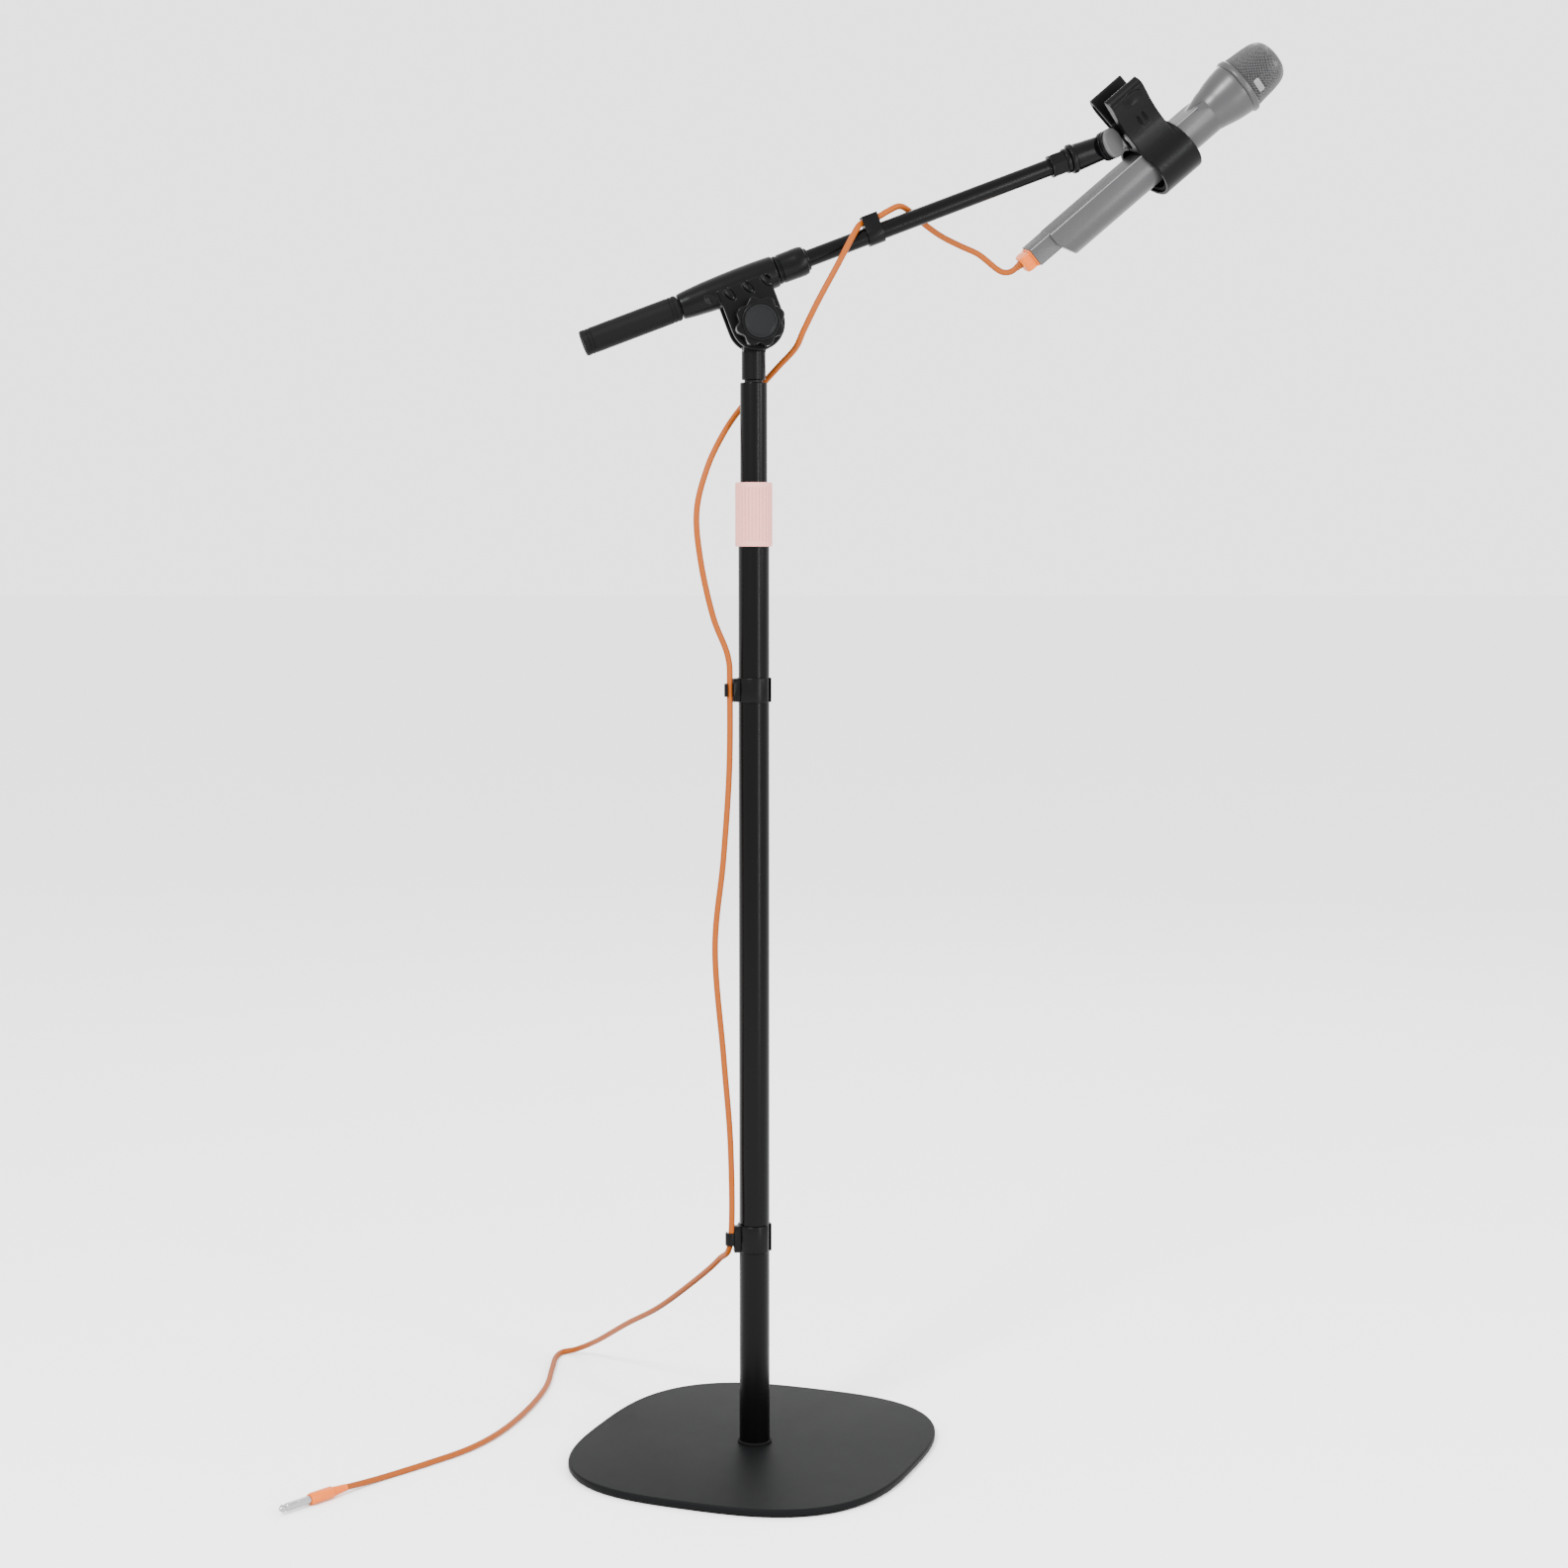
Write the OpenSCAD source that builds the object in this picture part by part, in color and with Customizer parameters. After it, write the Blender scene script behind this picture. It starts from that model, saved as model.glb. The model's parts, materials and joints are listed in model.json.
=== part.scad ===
/* [Base] */
// Half width of the base plate
base_half_w = 142; // [120:1:160]
// Half depth of the base plate
base_half_d = 153; // [120:1:170]
// Squareness of the base outline, 2 is an ellipse
base_power = 2.9; // [2.2:0.1:4]
// Turn of the base plate about the pole, degrees
base_turn = -28; // [-45:1:45]
// Thickness of the rubber mat under the plate
mat_t = 2; // [1.5:0.1:3]
// Thickness of the steel plate
plate_t = 5; // [4:0.5:8]

/* [Pole] */
// Outer radius of the lower tube
lower_r = 12.7; // [12.6:0.05:12.75]
// Outer radius of the upper tube
upper_r = 11.1; // [11:0.05:11.15]
// Wall of both tubes
tube_wall = 1.3; // [1.2:0.05:1.35]
// Height of the underside of the twist clutch
clutch_z = 757; // [700:1:800]
// Length of the twist clutch
clutch_h = 52; // [48:1:60]
// Outer radius of the twist clutch
clutch_r = 15.2; // [15:0.1:17]
// Number of grip ribs round the clutch
clutch_ribs = 30; // [20:1:36]
// Height of the top of the upper tube
column_top = 889.3; // [880:0.1:900]

/* [Boom clamp] */
// Distance of the tilt pivot from the pole axis
pivot_x = 2; // [0:0.5:4]
// Height of the tilt pivot above the floor
pivot_z = 936.5; // [930:0.5:945]
// Slope of the boom, degrees
boom_tilt = 21; // [10:1:30]
// Height of the boom axis above the tilt pivot
boom_rise = 34.2; // [33:0.1:38]
// Radius of the clamp's cheeks about the pivot
cheek_r = 22; // [20:0.5:23]
// Radius of the locking knob over its lobes
knob_r = 20.5; // [19:0.5:22]
// Number of lobes on the locking knob
knob_lobes = 8; // [5:1:10]

/* [Boom] */
// Outer radius of the boom tube
boom_r = 7; // [6.9:0.05:7]
// Place of the rear end of the boom grip along the boom
grip_end = -137; // [-160:1:-120]
// Radius of the rear grip
grip_r = 10.5; // [10:0.1:12]
// Place of the tip of the boom tube
boom_tip = 271; // [260:1:280]
// Place of the rear face of the boom's cable clip
boom_clip_x = 110; // [105:1:115]

/* [Microphone clip] */
// Place of the swivel along the boom
swivel_x = 324; // [322:0.5:326]
// Angle of the swivel axis from the boom axis, degrees
swivel_angle = 50; // [48:1:52]
// Radius of the swivel discs
swivel_r = 12.4; // [11:0.1:13]
// Width of the clip's jaws along the microphone
clip_w = 35.6; // [35:0.2:37]
// Slant of the jaws' ends across the microphone, degrees
jaw_skew = 12; // [0:1:14]
// Width of the clip's handles along the microphone
handle_w = 32; // [31:0.2:34]
// Slant of the handles' ends, degrees
handle_skew = 5; // [0:1:8]

/* [Microphone] */
// Azimuth of the microphone axis, degrees
mic_azimuth = -8; // [-9:0.5:-7]
// Rise of the microphone axis, degrees
mic_rise = 40.7; // [40:0.1:42]
// Radius of the microphone's barrel
barrel_r = 17.4; // [17:0.1:17.4]
// Height of the flat top of the barrel above its axis
flat_h = 13.2; // [12:0.1:13.4]

/* [Cord] */
// Diameter of the cord
cord_d = 5; // [4.5:0.1:5]

/* [Hidden] */
$fn = 64;
eps = 0.01;
plate_top = mat_t + plate_t;
lower_bore = lower_r - tube_wall;
upper_bore = upper_r - tube_wall + 0.1;
lower_top = clutch_z + 13;
running = 0.05;
neck_r = 9.85;
neck_z = column_top + 2.4;
neck_top = 918.7;
tongue_half = 8;
cheek_in = 10.2;
cheek_out = 14.7;
holder_back = -53;
holder_front = 30;
collar_front = 56;
clip_mid = 21.9;
handle_mid = 21.2;
handle_start = handle_mid - handle_w / 2;
clip_roll = 30;
mic_roll = 14;
mic_origin = [324, 17.5, 1066];
hinge_v = 31;
jaw_drop = 3;
jaw_in = 23;
jaw_out = 26;
tail_start = -112;
tail_half = 14.5;
tail_low = -2.8;
barrel_start = -92;
connector_l = 11;
cord_sides = 8;
clip_1_z = 630;
clip_2_z = 171;
channel_in = cord_d / 2 + 0.3;
channel_out = 4.7;
plug_turn = 221;
plug_start = [-338, -60];
plug_rise = 5;

// Route of the cord from the microphone down to the plug on the floor
route = [
    [223.5, 30, 987.4], [219.2, 30.6, 984.4], [213.5, 31.2, 983.8], [207, 31.6, 986.8], [192, 30.6, 998],
    [176, 28, 1004.5], [160, 23, 1011], [145, 15.5, 1019], [129, 8, 1030], [120, 3, 1033],
    [110, -1, 1028.5], [101, -3, 1023.2], [88.4, -3, 1018.3], [82, -8, 1011], [66, -18, 983],
    [50, -19, 954], [39, -15, 931], [33, -9, 917], [21, 4, 903], [8, 16, 888],
    [-9, 18, 869], [-24, 11, 848], [-38, 3, 820], [-47, -2, 785], [-44, -4, 745],
    [-34, -4, 700], [-22, -4, 668], [-20.4, -4, 640], [-21, -4, 573], [-26, -4, 500],
    [-33, -4, 426], [-26, -4, 335], [-20.4, -4, 260], [-20.4, -4, 182], [-28, 22, 158],
    [-46, 68, 126], [-70, 125, 89], [-93, 185, 58], [-112, 240, 29], [-123, 270, 14],
    [-135, 287, 4.5], [-147, 287, 2.6], [-154, 270, 2.6], [-159, 236, 2.6], [-167, 184, 2.6],
    [-185, 125, 2.6], [-210, 68, 2.6], [-238, 27, 2.6], [-273, -5, 2.6], [-312, -36, 2.6],
    [-338, -60, 5]
];
route_last = len(route) - 1;
cord_ends = [0, 4, 6, 8, 13, 14, 15, 18, 27, 50];

function clamp_index(i) = max(0, min(route_last, i));
function spline(i, t) =
    let (a = route[clamp_index(i - 1)], b = route[i], c = route[clamp_index(i + 1)], d = route[clamp_index(i + 2)])
    0.5 * (2 * b + (c - a) * t + (2 * a - 5 * b + 4 * c - d) * t * t + (3 * b - a - 3 * c + d) * t * t * t);
function unit(v) = v / norm(v);

// Rings of the tube stand at every route point, and half way along the middle-length spans
function span(i) = i < route_last ? norm(route[i + 1] - route[i]) : 0;
half_steps = [for (i = [0:route_last]) (span(i) > 15 && span(i) < 70) ? 1 : 0];
function ring_count(i) = i < 0 ? 0 : ring_count(i - 1) + 1 + half_steps[i];
samples = [for (i = [0:route_last]) for (t = half_steps[i] ? [0, 0.5] : [0]) spline(i, t)];
sample_last = len(samples) - 1;
tangents = [for (i = [0:sample_last]) unit(samples[min(sample_last, i + 1)] - samples[max(0, i - 1)])];
function carried(i, n) =
    i > sample_last ? [] :
    let (m = unit(n - (n * tangents[i]) * tangents[i])) concat([m], carried(i + 1, m));
normals = carried(0, [0, 1, 0]);

// Tube along the route between two of its points
module cord_run(first, last) {
    a = ring_count(first - 1);
    b = ring_count(last - 1);
    rings = b - a;
    points = [
        for (i = [a:b]) for (k = [0:cord_sides - 1])
            let (turn = 360 * k / cord_sides, side = cross(tangents[i], normals[i]))
            samples[i] + cord_d / 2 * (cos(turn) * normals[i] + sin(turn) * side)
    ];
    walls = [
        for (i = [0:rings - 1]) for (k = [0:cord_sides - 1])
            let (n = (k + 1) % cord_sides, s = i * cord_sides, e = s + cord_sides)
            for (half = [[s + k, e + k, s + n], [s + n, e + k, e + n]]) half
    ];
    start_cap = [for (k = [0:cord_sides - 1]) k];
    end_cap = [for (k = [cord_sides - 1:-1:0]) rings * cord_sides + k];
    color("darkorange") polyhedron(points, concat([start_cap], walls, [end_cap]));
}

// Plain shapes
function squircle(a, b, p) = [
    for (i = [0:95])
        let (c = cos(360 * i / 96), s = sin(360 * i / 96))
        [a * sign(c) * pow(abs(c), 2 / p), b * sign(s) * pow(abs(s), 2 / p)]
];
module ring(r_out, r_in, h) {
    difference() {
        cylinder(r = r_out, h = h);
        translate([0, 0, -1]) cylinder(r = r_in, h = h + 2);
    }
}
module rod_x(r, x0, x1) {
    translate([x0, 0, 0]) rotate([0, 90, 0]) cylinder(r = r, h = x1 - x0);
}
module ring_x(r_out, r_in, x0, x1) {
    translate([x0, 0, 0]) rotate([0, 90, 0]) ring(r_out, r_in, x1 - x0);
}
// Turns a profile of [along, radius] points about the X axis
module turned_x(profile) {
    rotate([0, 90, 0]) rotate_extrude() polygon([for (p = profile) [p[1], p[0]]]);
}

// Frames of the moving groups
module at_pivot() { translate([pivot_x, 0, pivot_z]) rotate([0, -boom_tilt, 0]) children(); }
module at_boom() { at_pivot() translate([0, 0, boom_rise]) children(); }
module at_swivel() { at_boom() translate([swivel_x, 0, 0]) rotate([0, 0, -swivel_angle]) children(); }
module at_mic(roll) {
    translate(mic_origin) rotate([0, 0, mic_azimuth]) rotate([0, -mic_rise, 0]) rotate([roll, 0, 0]) children();
}

// Base
module base_slab(inset, h) {
    rotate([0, 0, base_turn]) linear_extrude(height = h)
        polygon(squircle(base_half_w - inset, base_half_d - inset, base_power));
}
module base_plate() {
    color("dimgray") difference() {
        translate([0, 0, mat_t]) union() {
            base_slab(0, plate_t - 2);
            base_slab(0.7, plate_t - 0.8);
            base_slab(2, plate_t);
        }
        translate([0, 0, mat_t - 1]) cylinder(r = 4.2, h = plate_t + 2);
        translate([0, 0, mat_t - 1]) cylinder(r = 9, h = 3.2);
    }
}
module rubber_mat() {
    color("black") difference() {
        base_slab(1.6, mat_t);
        translate([0, 0, 0.6]) cylinder(r = 9.6, h = mat_t);
    }
}
module base_washer() {
    color("silver") translate([0, 0, mat_t + 1.2]) ring(8.4, 4.2, 1);
}
module base_bolt() {
    color("silver") {
        translate([0, 0, 0.8]) cylinder(r = 7.5, h = mat_t + 0.4, $fn = 6);
        translate([0, 0, mat_t + 1]) cylinder(r = 4, h = 26);
    }
}
module foot_plug() {
    color("gray") translate([0, 0, plate_top]) difference() {
        union() {
            cylinder(r = lower_r, h = 1.5);
            cylinder(r = lower_bore - running, h = 32);
        }
        translate([0, 0, -1]) cylinder(r = 4.1, h = 26);
    }
}
module foot_collar() {
    color("black") translate([0, 0, plate_top]) ring(14.3, lower_r + running, 2.8);
}
module lower_tube() {
    color("black") translate([0, 0, plate_top + 1.5]) ring(lower_r, lower_bore, lower_top - plate_top - 1.5);
}

// Twist clutch
module clutch_ferrule() {
    color("black") translate([0, 0, clutch_z + 2]) difference() {
        cylinder(r = 13.9, h = 20);
        translate([0, 0, -1]) cylinder(r = lower_r + running, h = 22);
        translate([0, 0, 11]) cylinder(r = 13.2, h = 10);
    }
}
module clutch_collet() {
    color("white") difference() {
        translate([0, 0, lower_top + 0.3]) ring(13, upper_r + 0.1, 30);
        for (turn = [0:90:270])
            rotate([0, 0, turn]) translate([0, -0.8, lower_top + 8]) cube([20, 1.6, 30]);
    }
}
module clutch_grip() {
    color("pink") translate([0, 0, clutch_z]) difference() {
        cylinder(r = clutch_r, h = clutch_h);
        translate([0, 0, -1]) cylinder(r = 14.2, h = clutch_h - 4);
        cylinder(r = upper_r + 0.5, h = clutch_h + 1);
        for (i = [0:clutch_ribs - 1])
            rotate([0, 0, 360 * i / clutch_ribs]) translate([clutch_r + 0.35, 0, 4])
                cylinder(r = 0.85, h = clutch_h - 8, $fn = 24);
    }
}

// Cable clips on the pole, with a channel that opens towards the given side
module pole_clip(z, h, side) {
    color("black") translate([0, 0, z]) {
        difference() {
            ring(14.4, lower_r + running, h);
            rotate([0, 0, -30]) translate([0, -4, -1]) cube([20, 8, h + 2]);
        }
        difference() {
            union() {
                translate([-20.4, -4, h / 2 - 5.5]) cylinder(r = channel_out, h = 11);
                translate([-17.8, -7.5, 0]) cube([4.4, 7, h]);
            }
            translate([0, 0, -1]) cylinder(r = 14.2, h = h + 2);
            translate([-20.4, -4, -1]) cylinder(r = channel_in, h = h + 2);
            translate([-20.4 - 2.1, side > 0 ? -4 : -4 - 8, -1]) cube([4.2, 8, h + 2]);
        }
    }
}
module pole_clip_upper() { pole_clip(clip_1_z, 20, -1); }
module pole_clip_lower() { pole_clip(clip_2_z, 23, 1); }

// Sliding column
module upper_tube() {
    color("black") translate([0, 0, 240]) ring(upper_r, upper_bore, column_top - 240);
}
module glide_bush() {
    color("white") difference() {
        union() {
            translate([0, 0, 225]) cylinder(r = lower_bore - 0.07, h = 15);
            translate([0, 0, 240 - eps]) cylinder(r = upper_bore - running, h = 22);
        }
        translate([0, 0, 224]) cylinder(r = 7, h = 40);
    }
}
module top_plug() {
    color("silver") {
        translate([0, 0, column_top - 24]) cylinder(r = upper_bore - running, h = 24);
        translate([0, 0, column_top - 1]) cylinder(r = 5, h = 18);
    }
}
module swivel_washer() {
    color("black") translate([0, 0, column_top + 0.2]) ring(7.6, 5 + running, 2);
}

// Neck with the tongue that the boom holder tilts on
module neck() {
    color("black") difference() {
        union() {
            translate([0, 0, neck_z]) cylinder(r = neck_r, h = neck_top - neck_z);
            translate([0, tongue_half, 0]) rotate([90, 0, 0]) linear_extrude(height = 2 * tongue_half) {
                translate([pivot_x, pivot_z]) circle(r = 16);
                translate([-9, neck_top - 5]) square([18, 18]);
            }
        }
        translate([0, 0, neck_z - 1]) cylinder(r = 5 + running, h = 18);
        translate([pivot_x, 20, pivot_z]) rotate([90, 0, 0]) cylinder(r = 4 + running, h = 40);
    }
}
module friction_washers() {
    color("dimgray") for (side = [-1, 1])
        translate([pivot_x, side * (tongue_half + cheek_in) / 2, pivot_z]) rotate([90, 0, 0])
            translate([0, 0, -1]) ring(15, 4.3, 1.96);
}

// Boom holder: a barrel with two cheeks, finger dents and a key hole in each cheek
module cheek_outline() {
    circle(r = cheek_r);
    translate([-cheek_r, 0]) square([2 * cheek_r, boom_rise - 6]);
}
module boom_holder() {
    color("black") at_pivot() difference() {
        union() {
            for (y = [-cheek_out, cheek_in])
                translate([0, y + cheek_out - cheek_in, 0]) rotate([90, 0, 0])
                    linear_extrude(height = cheek_out - cheek_in) cheek_outline();
            translate([0, 0, boom_rise]) turned_x([
                [holder_back, 0], [holder_back, 10.4], [-45, 11.4], [-30, 12.5], [-15, 13.1], [0, 13.4],
                [15, 13.4], [holder_front - 1, 12.9], [holder_front, 12.4], [holder_front, 0]
            ]);
            translate([-cheek_r, -cheek_out, boom_rise - 12]) cube([2 * cheek_r, 2 * cheek_out, 12]);
        }
        translate([0, 0, boom_rise]) rod_x(boom_r + running, holder_back - 1, holder_front + 1);
        rotate([90, 0, 0]) translate([0, 0, -20]) cylinder(r = 4 + running, h = 40);
        translate([0, 15.5, 0]) rotate([90, 0, 0]) cylinder(r = 7.4, h = 2.4, $fn = 6);
        translate([-cheek_r - 5, -cheek_in, -cheek_r - 1]) cube([2 * cheek_r + 10, 2 * cheek_in, cheek_r + 17]);
        translate([0, cheek_in, 0]) rotate([90, 0, 0]) cylinder(r = 20, h = 2 * cheek_in);
        for (i = [0:3]) for (side = [-1, 1])
            translate([-31 + 16 * i, side * 14.3, boom_rise - 4]) rotate([side * -20, 0, 0])
                cylinder(r = 3, h = 9, center = true);
    }
}
module pivot_bolt() {
    color("silver") at_pivot() {
        translate([0, 18, 0]) rotate([90, 0, 0]) cylinder(r = 7, h = 4.9, $fn = 6);
        translate([0, 14, 0]) rotate([90, 0, 0]) cylinder(r = 4, h = 41);
    }
}

// Locking knob
module knob_outline() {
    circle(r = knob_r - 3.5);
    for (i = [0:knob_lobes - 1])
        rotate(360 * i / knob_lobes) translate([knob_r - 5.2, 0]) circle(r = 5.2);
}
module knob() {
    color("black") at_pivot() rotate([90, 0, 0]) translate([0, 0, 15]) difference() {
        union() {
            cylinder(r = 11, h = 3);
            translate([0, 0, 2]) linear_extrude(height = 15) knob_outline();
            cylinder(r = 15.6, h = 19);
        }
        translate([0, 0, -1]) cylinder(r = 4 + running, h = 14);
        translate([0, 0, 5]) cylinder(r = 7.6, h = 20, $fn = 6);
        translate([0, 0, 17]) cylinder(r = 13.4, h = 3);
    }
}
module knob_nut() {
    color("gold") at_pivot() rotate([90, 0, 0]) translate([0, 0, 20.1]) difference() {
        cylinder(r = 7.4, h = 8, $fn = 6);
        translate([0, 0, -1]) cylinder(r = 4 + running, h = 10);
    }
}
module knob_cap() {
    color("dimgray") at_pivot() rotate([90, 0, 0]) translate([0, 0, 32.1]) {
        cylinder(r = 13.3, h = 1.1);
        ring(13.3, 11.4, 1.9);
    }
}

// Boom
module lock_collar() {
    color("black") at_boom() difference() {
        turned_x([
            [holder_front + 0.5, 0], [holder_front + 0.5, 12.2], [collar_front - 3, 12.2],
            [collar_front, 11.4], [collar_front, 10], [collar_front + 2.5, 9.4], [collar_front + 2.5, 0]
        ]);
        rod_x(boom_r + 0.35, holder_front, collar_front + 4);
    }
}
module boom_tube() {
    color("black") at_boom() ring_x(boom_r, boom_r - 1.2, grip_end + 6, boom_tip);
}
module rear_grip() {
    color("black") at_boom() difference() {
        turned_x([
            [grip_end, 0], [grip_end, grip_r - 1], [grip_end + 1, grip_r],
            [holder_back - 2, grip_r], [holder_back - 1, grip_r - 1], [holder_back - 1, 0]
        ]);
        rod_x(boom_r + running, grip_end + 5, holder_back);
        rod_x(8.6, grip_end - 1, grip_end + 5);
    }
}
module grip_cap() {
    color("black") at_boom() {
        rod_x(8.5, grip_end + 0.4, grip_end + 4.8);
        rod_x(boom_r - 1.3, grip_end + 4.6, grip_end + 14);
    }
}
module boom_clip() {
    color("black") at_boom() difference() {
        union() {
            rod_x(8.9, boom_clip_x, boom_clip_x + 13.5);
            translate([boom_clip_x, -8.2, 3]) cube([13.5, 10.4, 12.8]);
        }
        rod_x(boom_r + running, boom_clip_x - 1, boom_clip_x + 15);
        translate([0, -3, 11.2]) rod_x(channel_in, boom_clip_x - 1, boom_clip_x + 15);
        translate([boom_clip_x - 1, -3 - 2.1, 11.2]) cube([16, 4.2, 8]);
    }
}
module tip_insert() {
    color("silver") at_boom() {
        rod_x(boom_r - 1.25, boom_tip - 18, boom_tip);
        rod_x(boom_r, boom_tip, boom_tip + 1.5);
        rod_x(4.7, boom_tip + 1, boom_tip + 32);
    }
}
module lock_nut() {
    color("black") at_boom() difference() {
        union() {
            ring_x(9.3, 4.7 + running, boom_tip + 1.6, boom_tip + 4);
            translate([boom_tip + 3, 0, 0]) rotate([0, 90, 0]) cylinder(r = 10.2, h = 13, $fn = 6);
            ring_x(10.4, 4.7 + running, boom_tip + 15, boom_tip + 18.6);
        }
        rod_x(4.7 + running, boom_tip, boom_tip + 20);
    }
}

// Adapter with the oblique swivel
module adapter_sleeve() {
    color("black") difference() {
        union() {
            at_boom() turned_x([
                [boom_tip + 19, 0], [boom_tip + 19, 11.4], [boom_tip + 20, 12.4], [boom_tip + 23, 12.4],
                [boom_tip + 24, 11.4], [boom_tip + 44, 10.2], [boom_tip + 44, 0]
            ]);
            intersection() {
                at_boom() rod_x(10.2, boom_tip + 43, swivel_x + 20);
                at_swivel() translate([-60, -30, -30]) cube([59, 60, 60]);
            }
            at_swivel() rod_x(swivel_r, -3, 1.2);
        }
        at_swivel() translate([1.2, -30, -30]) cube([40, 60, 60]);
        at_boom() rod_x(7.1, boom_tip + 18, boom_tip + 33);
        at_swivel() rod_x(3, -9, 5);
    }
}
module thread_insert() {
    color("gold") at_boom() ring_x(7.1, 4.7 + running, boom_tip + 19, boom_tip + 32.8);
}
module swivel_screw() {
    color("silver") at_swivel() rod_x(3, -8.8, 5.1);
}
module swivel_cap() {
    color("gray") at_swivel() rod_x(swivel_r + 0.1, 5.1, 8);
}

// Spring clip: profiles are drawn in the plane across the microphone, [away, up]
module across(start, length) {
    translate([start, 0, 0]) rotate([90, 0, 90]) linear_extrude(height = length) children();
}
module mic_section(grow) {
    intersection() {
        union() {
            circle(r = barrel_r + grow);
            translate([-barrel_r - grow, 0]) square([2 * (barrel_r + grow), flat_h + grow]);
        }
        translate([-40, -40]) square([80, 40 + flat_h + grow]);
        rotate(45) translate([-20.8 - grow, -40]) square([2 * (20.8 + grow), 80]);
        rotate(-45) translate([-20.8 - grow, -40]) square([2 * (20.8 + grow), 80]);
    }
}
module mic_pocket() { rotate(mic_roll - clip_roll) mic_section(0.45); }
module half_plane(side) { translate([side > 0 ? 0.5 : -60.5, -60]) square([60, 160]); }
module jaw_circle(r) { translate([0, -jaw_drop]) circle(r = r); }
// The jaws and the handles each end in two planes that slant across the microphone
module slanted(middle, width, skew) {
    intersection() {
        across(middle - width, 2 * width) children();
        translate([middle, 0, 0]) rotate([0, 0, skew]) translate([-width / 2, -60, -60]) cube([width, 120, 160]);
    }
}
module jaw_profile(side, r_in) {
    difference() {
        intersection() {
            jaw_circle(jaw_out);
            half_plane(side);
        }
        jaw_circle(r_in);
        mic_pocket();
    }
}
module handle_profile(outline) {
    difference() {
        polygon(outline);
        jaw_circle(jaw_in);
        mic_pocket();
    }
}
fixed_outline = [
    [0.5, 14], [4.4, 24], [6, 38], [19.4, 69], [23, 68], [26.2, 62], [26.8, 56], [22, 43],
    [15.5, 31], [17, 20], [20.5, 12], [4, 8]
];
moving_outline = [
    [-0.5, 14], [-4.4, 24], [-4, 44], [-8.5, 76.6], [-18.9, 71.6], [-15.6, 61], [-13.2, 51],
    [-12.4, 41], [-13.2, 31], [-16.5, 20], [-21, 11], [-4, 8]
];
module knuckles(starts, length, r) {
    for (s = starts) translate([0, 0, hinge_v]) rod_x(r, handle_start + s, handle_start + s + length);
}
module fixed_jaw() {
    color("black") difference() {
        union() {
            at_mic(clip_roll) {
                slanted(clip_mid, clip_w, jaw_skew) jaw_profile(1, jaw_in);
                difference() {
                    slanted(handle_mid, handle_w, handle_skew) handle_profile(fixed_outline);
                    knuckles([-8, handle_w - 7.5], 15.5, 5.1);
                }
                for (s = [7.8, handle_w - 11.3]) {
                    knuckles([s], 3.5, 4.6);
                    translate([handle_start + s, 0, hinge_v - 3]) cube([3.5, 8, 6]);
                }
            }
            at_swivel() rod_x(swivel_r, 1.5, 4.8);
            at_swivel() rotate([29, 0, 0]) translate([1.7, 0, -6]) cube([2.9, 31, 12]);
        }
        at_swivel() rod_x(3 + running, 0, 6);
        at_mic(clip_roll) knuckles([-1], handle_w + 2, 2);
    }
}
module hinge_pin() {
    color("silver") at_mic(clip_roll) translate([0, 0, hinge_v]) rod_x(2, handle_start + 1, handle_start + handle_w - 1);
}
module jaw_spring() {
    color("silver") at_mic(clip_roll) {
        for (i = [0:4]) translate([0, 0, hinge_v]) ring_x(4.2, 2.6, handle_start + 11.6 + 1.9 * i, handle_start + 12.8 + 1.9 * i);
        translate([handle_start + 11.6, 3.4, hinge_v]) cube([8.8, 0.8, 4.6]);
    }
}
module liner(side) {
    color("dimgray") at_mic(clip_roll) slanted(clip_mid, clip_w - 4, jaw_skew) intersection() {
        difference() {
            intersection() {
                jaw_circle(jaw_in - running);
                half_plane(side);
            }
            jaw_circle(jaw_in - 3.4);
            mic_pocket();
        }
        translate([-40, -26]) square([80, 28]);
    }
}
module fixed_liner() { liner(1); }
module moving_liner() { liner(-1); }
module moving_jaw() {
    color("black") at_mic(clip_roll) difference() {
        union() {
            slanted(clip_mid, clip_w, jaw_skew) jaw_profile(-1, jaw_in);
            difference() {
                slanted(handle_mid, handle_w, handle_skew) handle_profile(moving_outline);
                knuckles([7.3], handle_w - 14.6, 5.1);
            }
            for (s = [1.4, handle_w - 7]) {
                knuckles([s], 5.6, 4.6);
                translate([handle_start + s, -8, hinge_v - 3]) cube([5.6, 8, 6]);
            }
        }
        knuckles([-4], handle_w + 8, 2 + running);
    }
}

// Microphone
module mic_barrel() {
    color("darkgray") at_mic(mic_roll) difference() {
        union() {
            difference() {
                across(barrel_start, 75 - barrel_start) mic_section(0);
                translate([barrel_start, -40, 3]) rotate([0, -26, 0]) translate([-60, 0, -60]) cube([60, 80, 60]);
            }
            translate([tail_start, -tail_half, tail_low]) cube([60, 2 * tail_half, flat_h - tail_low]);
        }
        rod_x(10, -84, 60);
        rod_x(12.4, 55, 76);
        translate([tail_start - 1, -tail_half + 3, tail_low + 3]) cube([32, 2 * tail_half - 6, flat_h - tail_low - 6]);
    }
}
module mic_neck() {
    color("darkgray") at_mic(mic_roll) turned_x([
        [75.1, 15.4], [75.1, 17.9], [80, 19], [85, 20.4], [92, 21.9], [101.5, 23.2], [104, 23.3],
        [104, 21.6], [92, 20.2], [85, 18.6], [80, 17.2]
    ]);
}
module grille_ring() {
    color("gray") at_mic(mic_roll) turned_x([
        [104.1, 21.6], [104.1, 24.4], [105.5, 25.6], [108.5, 25.6], [110, 24.2], [110, 21.6]
    ]);
}
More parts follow.
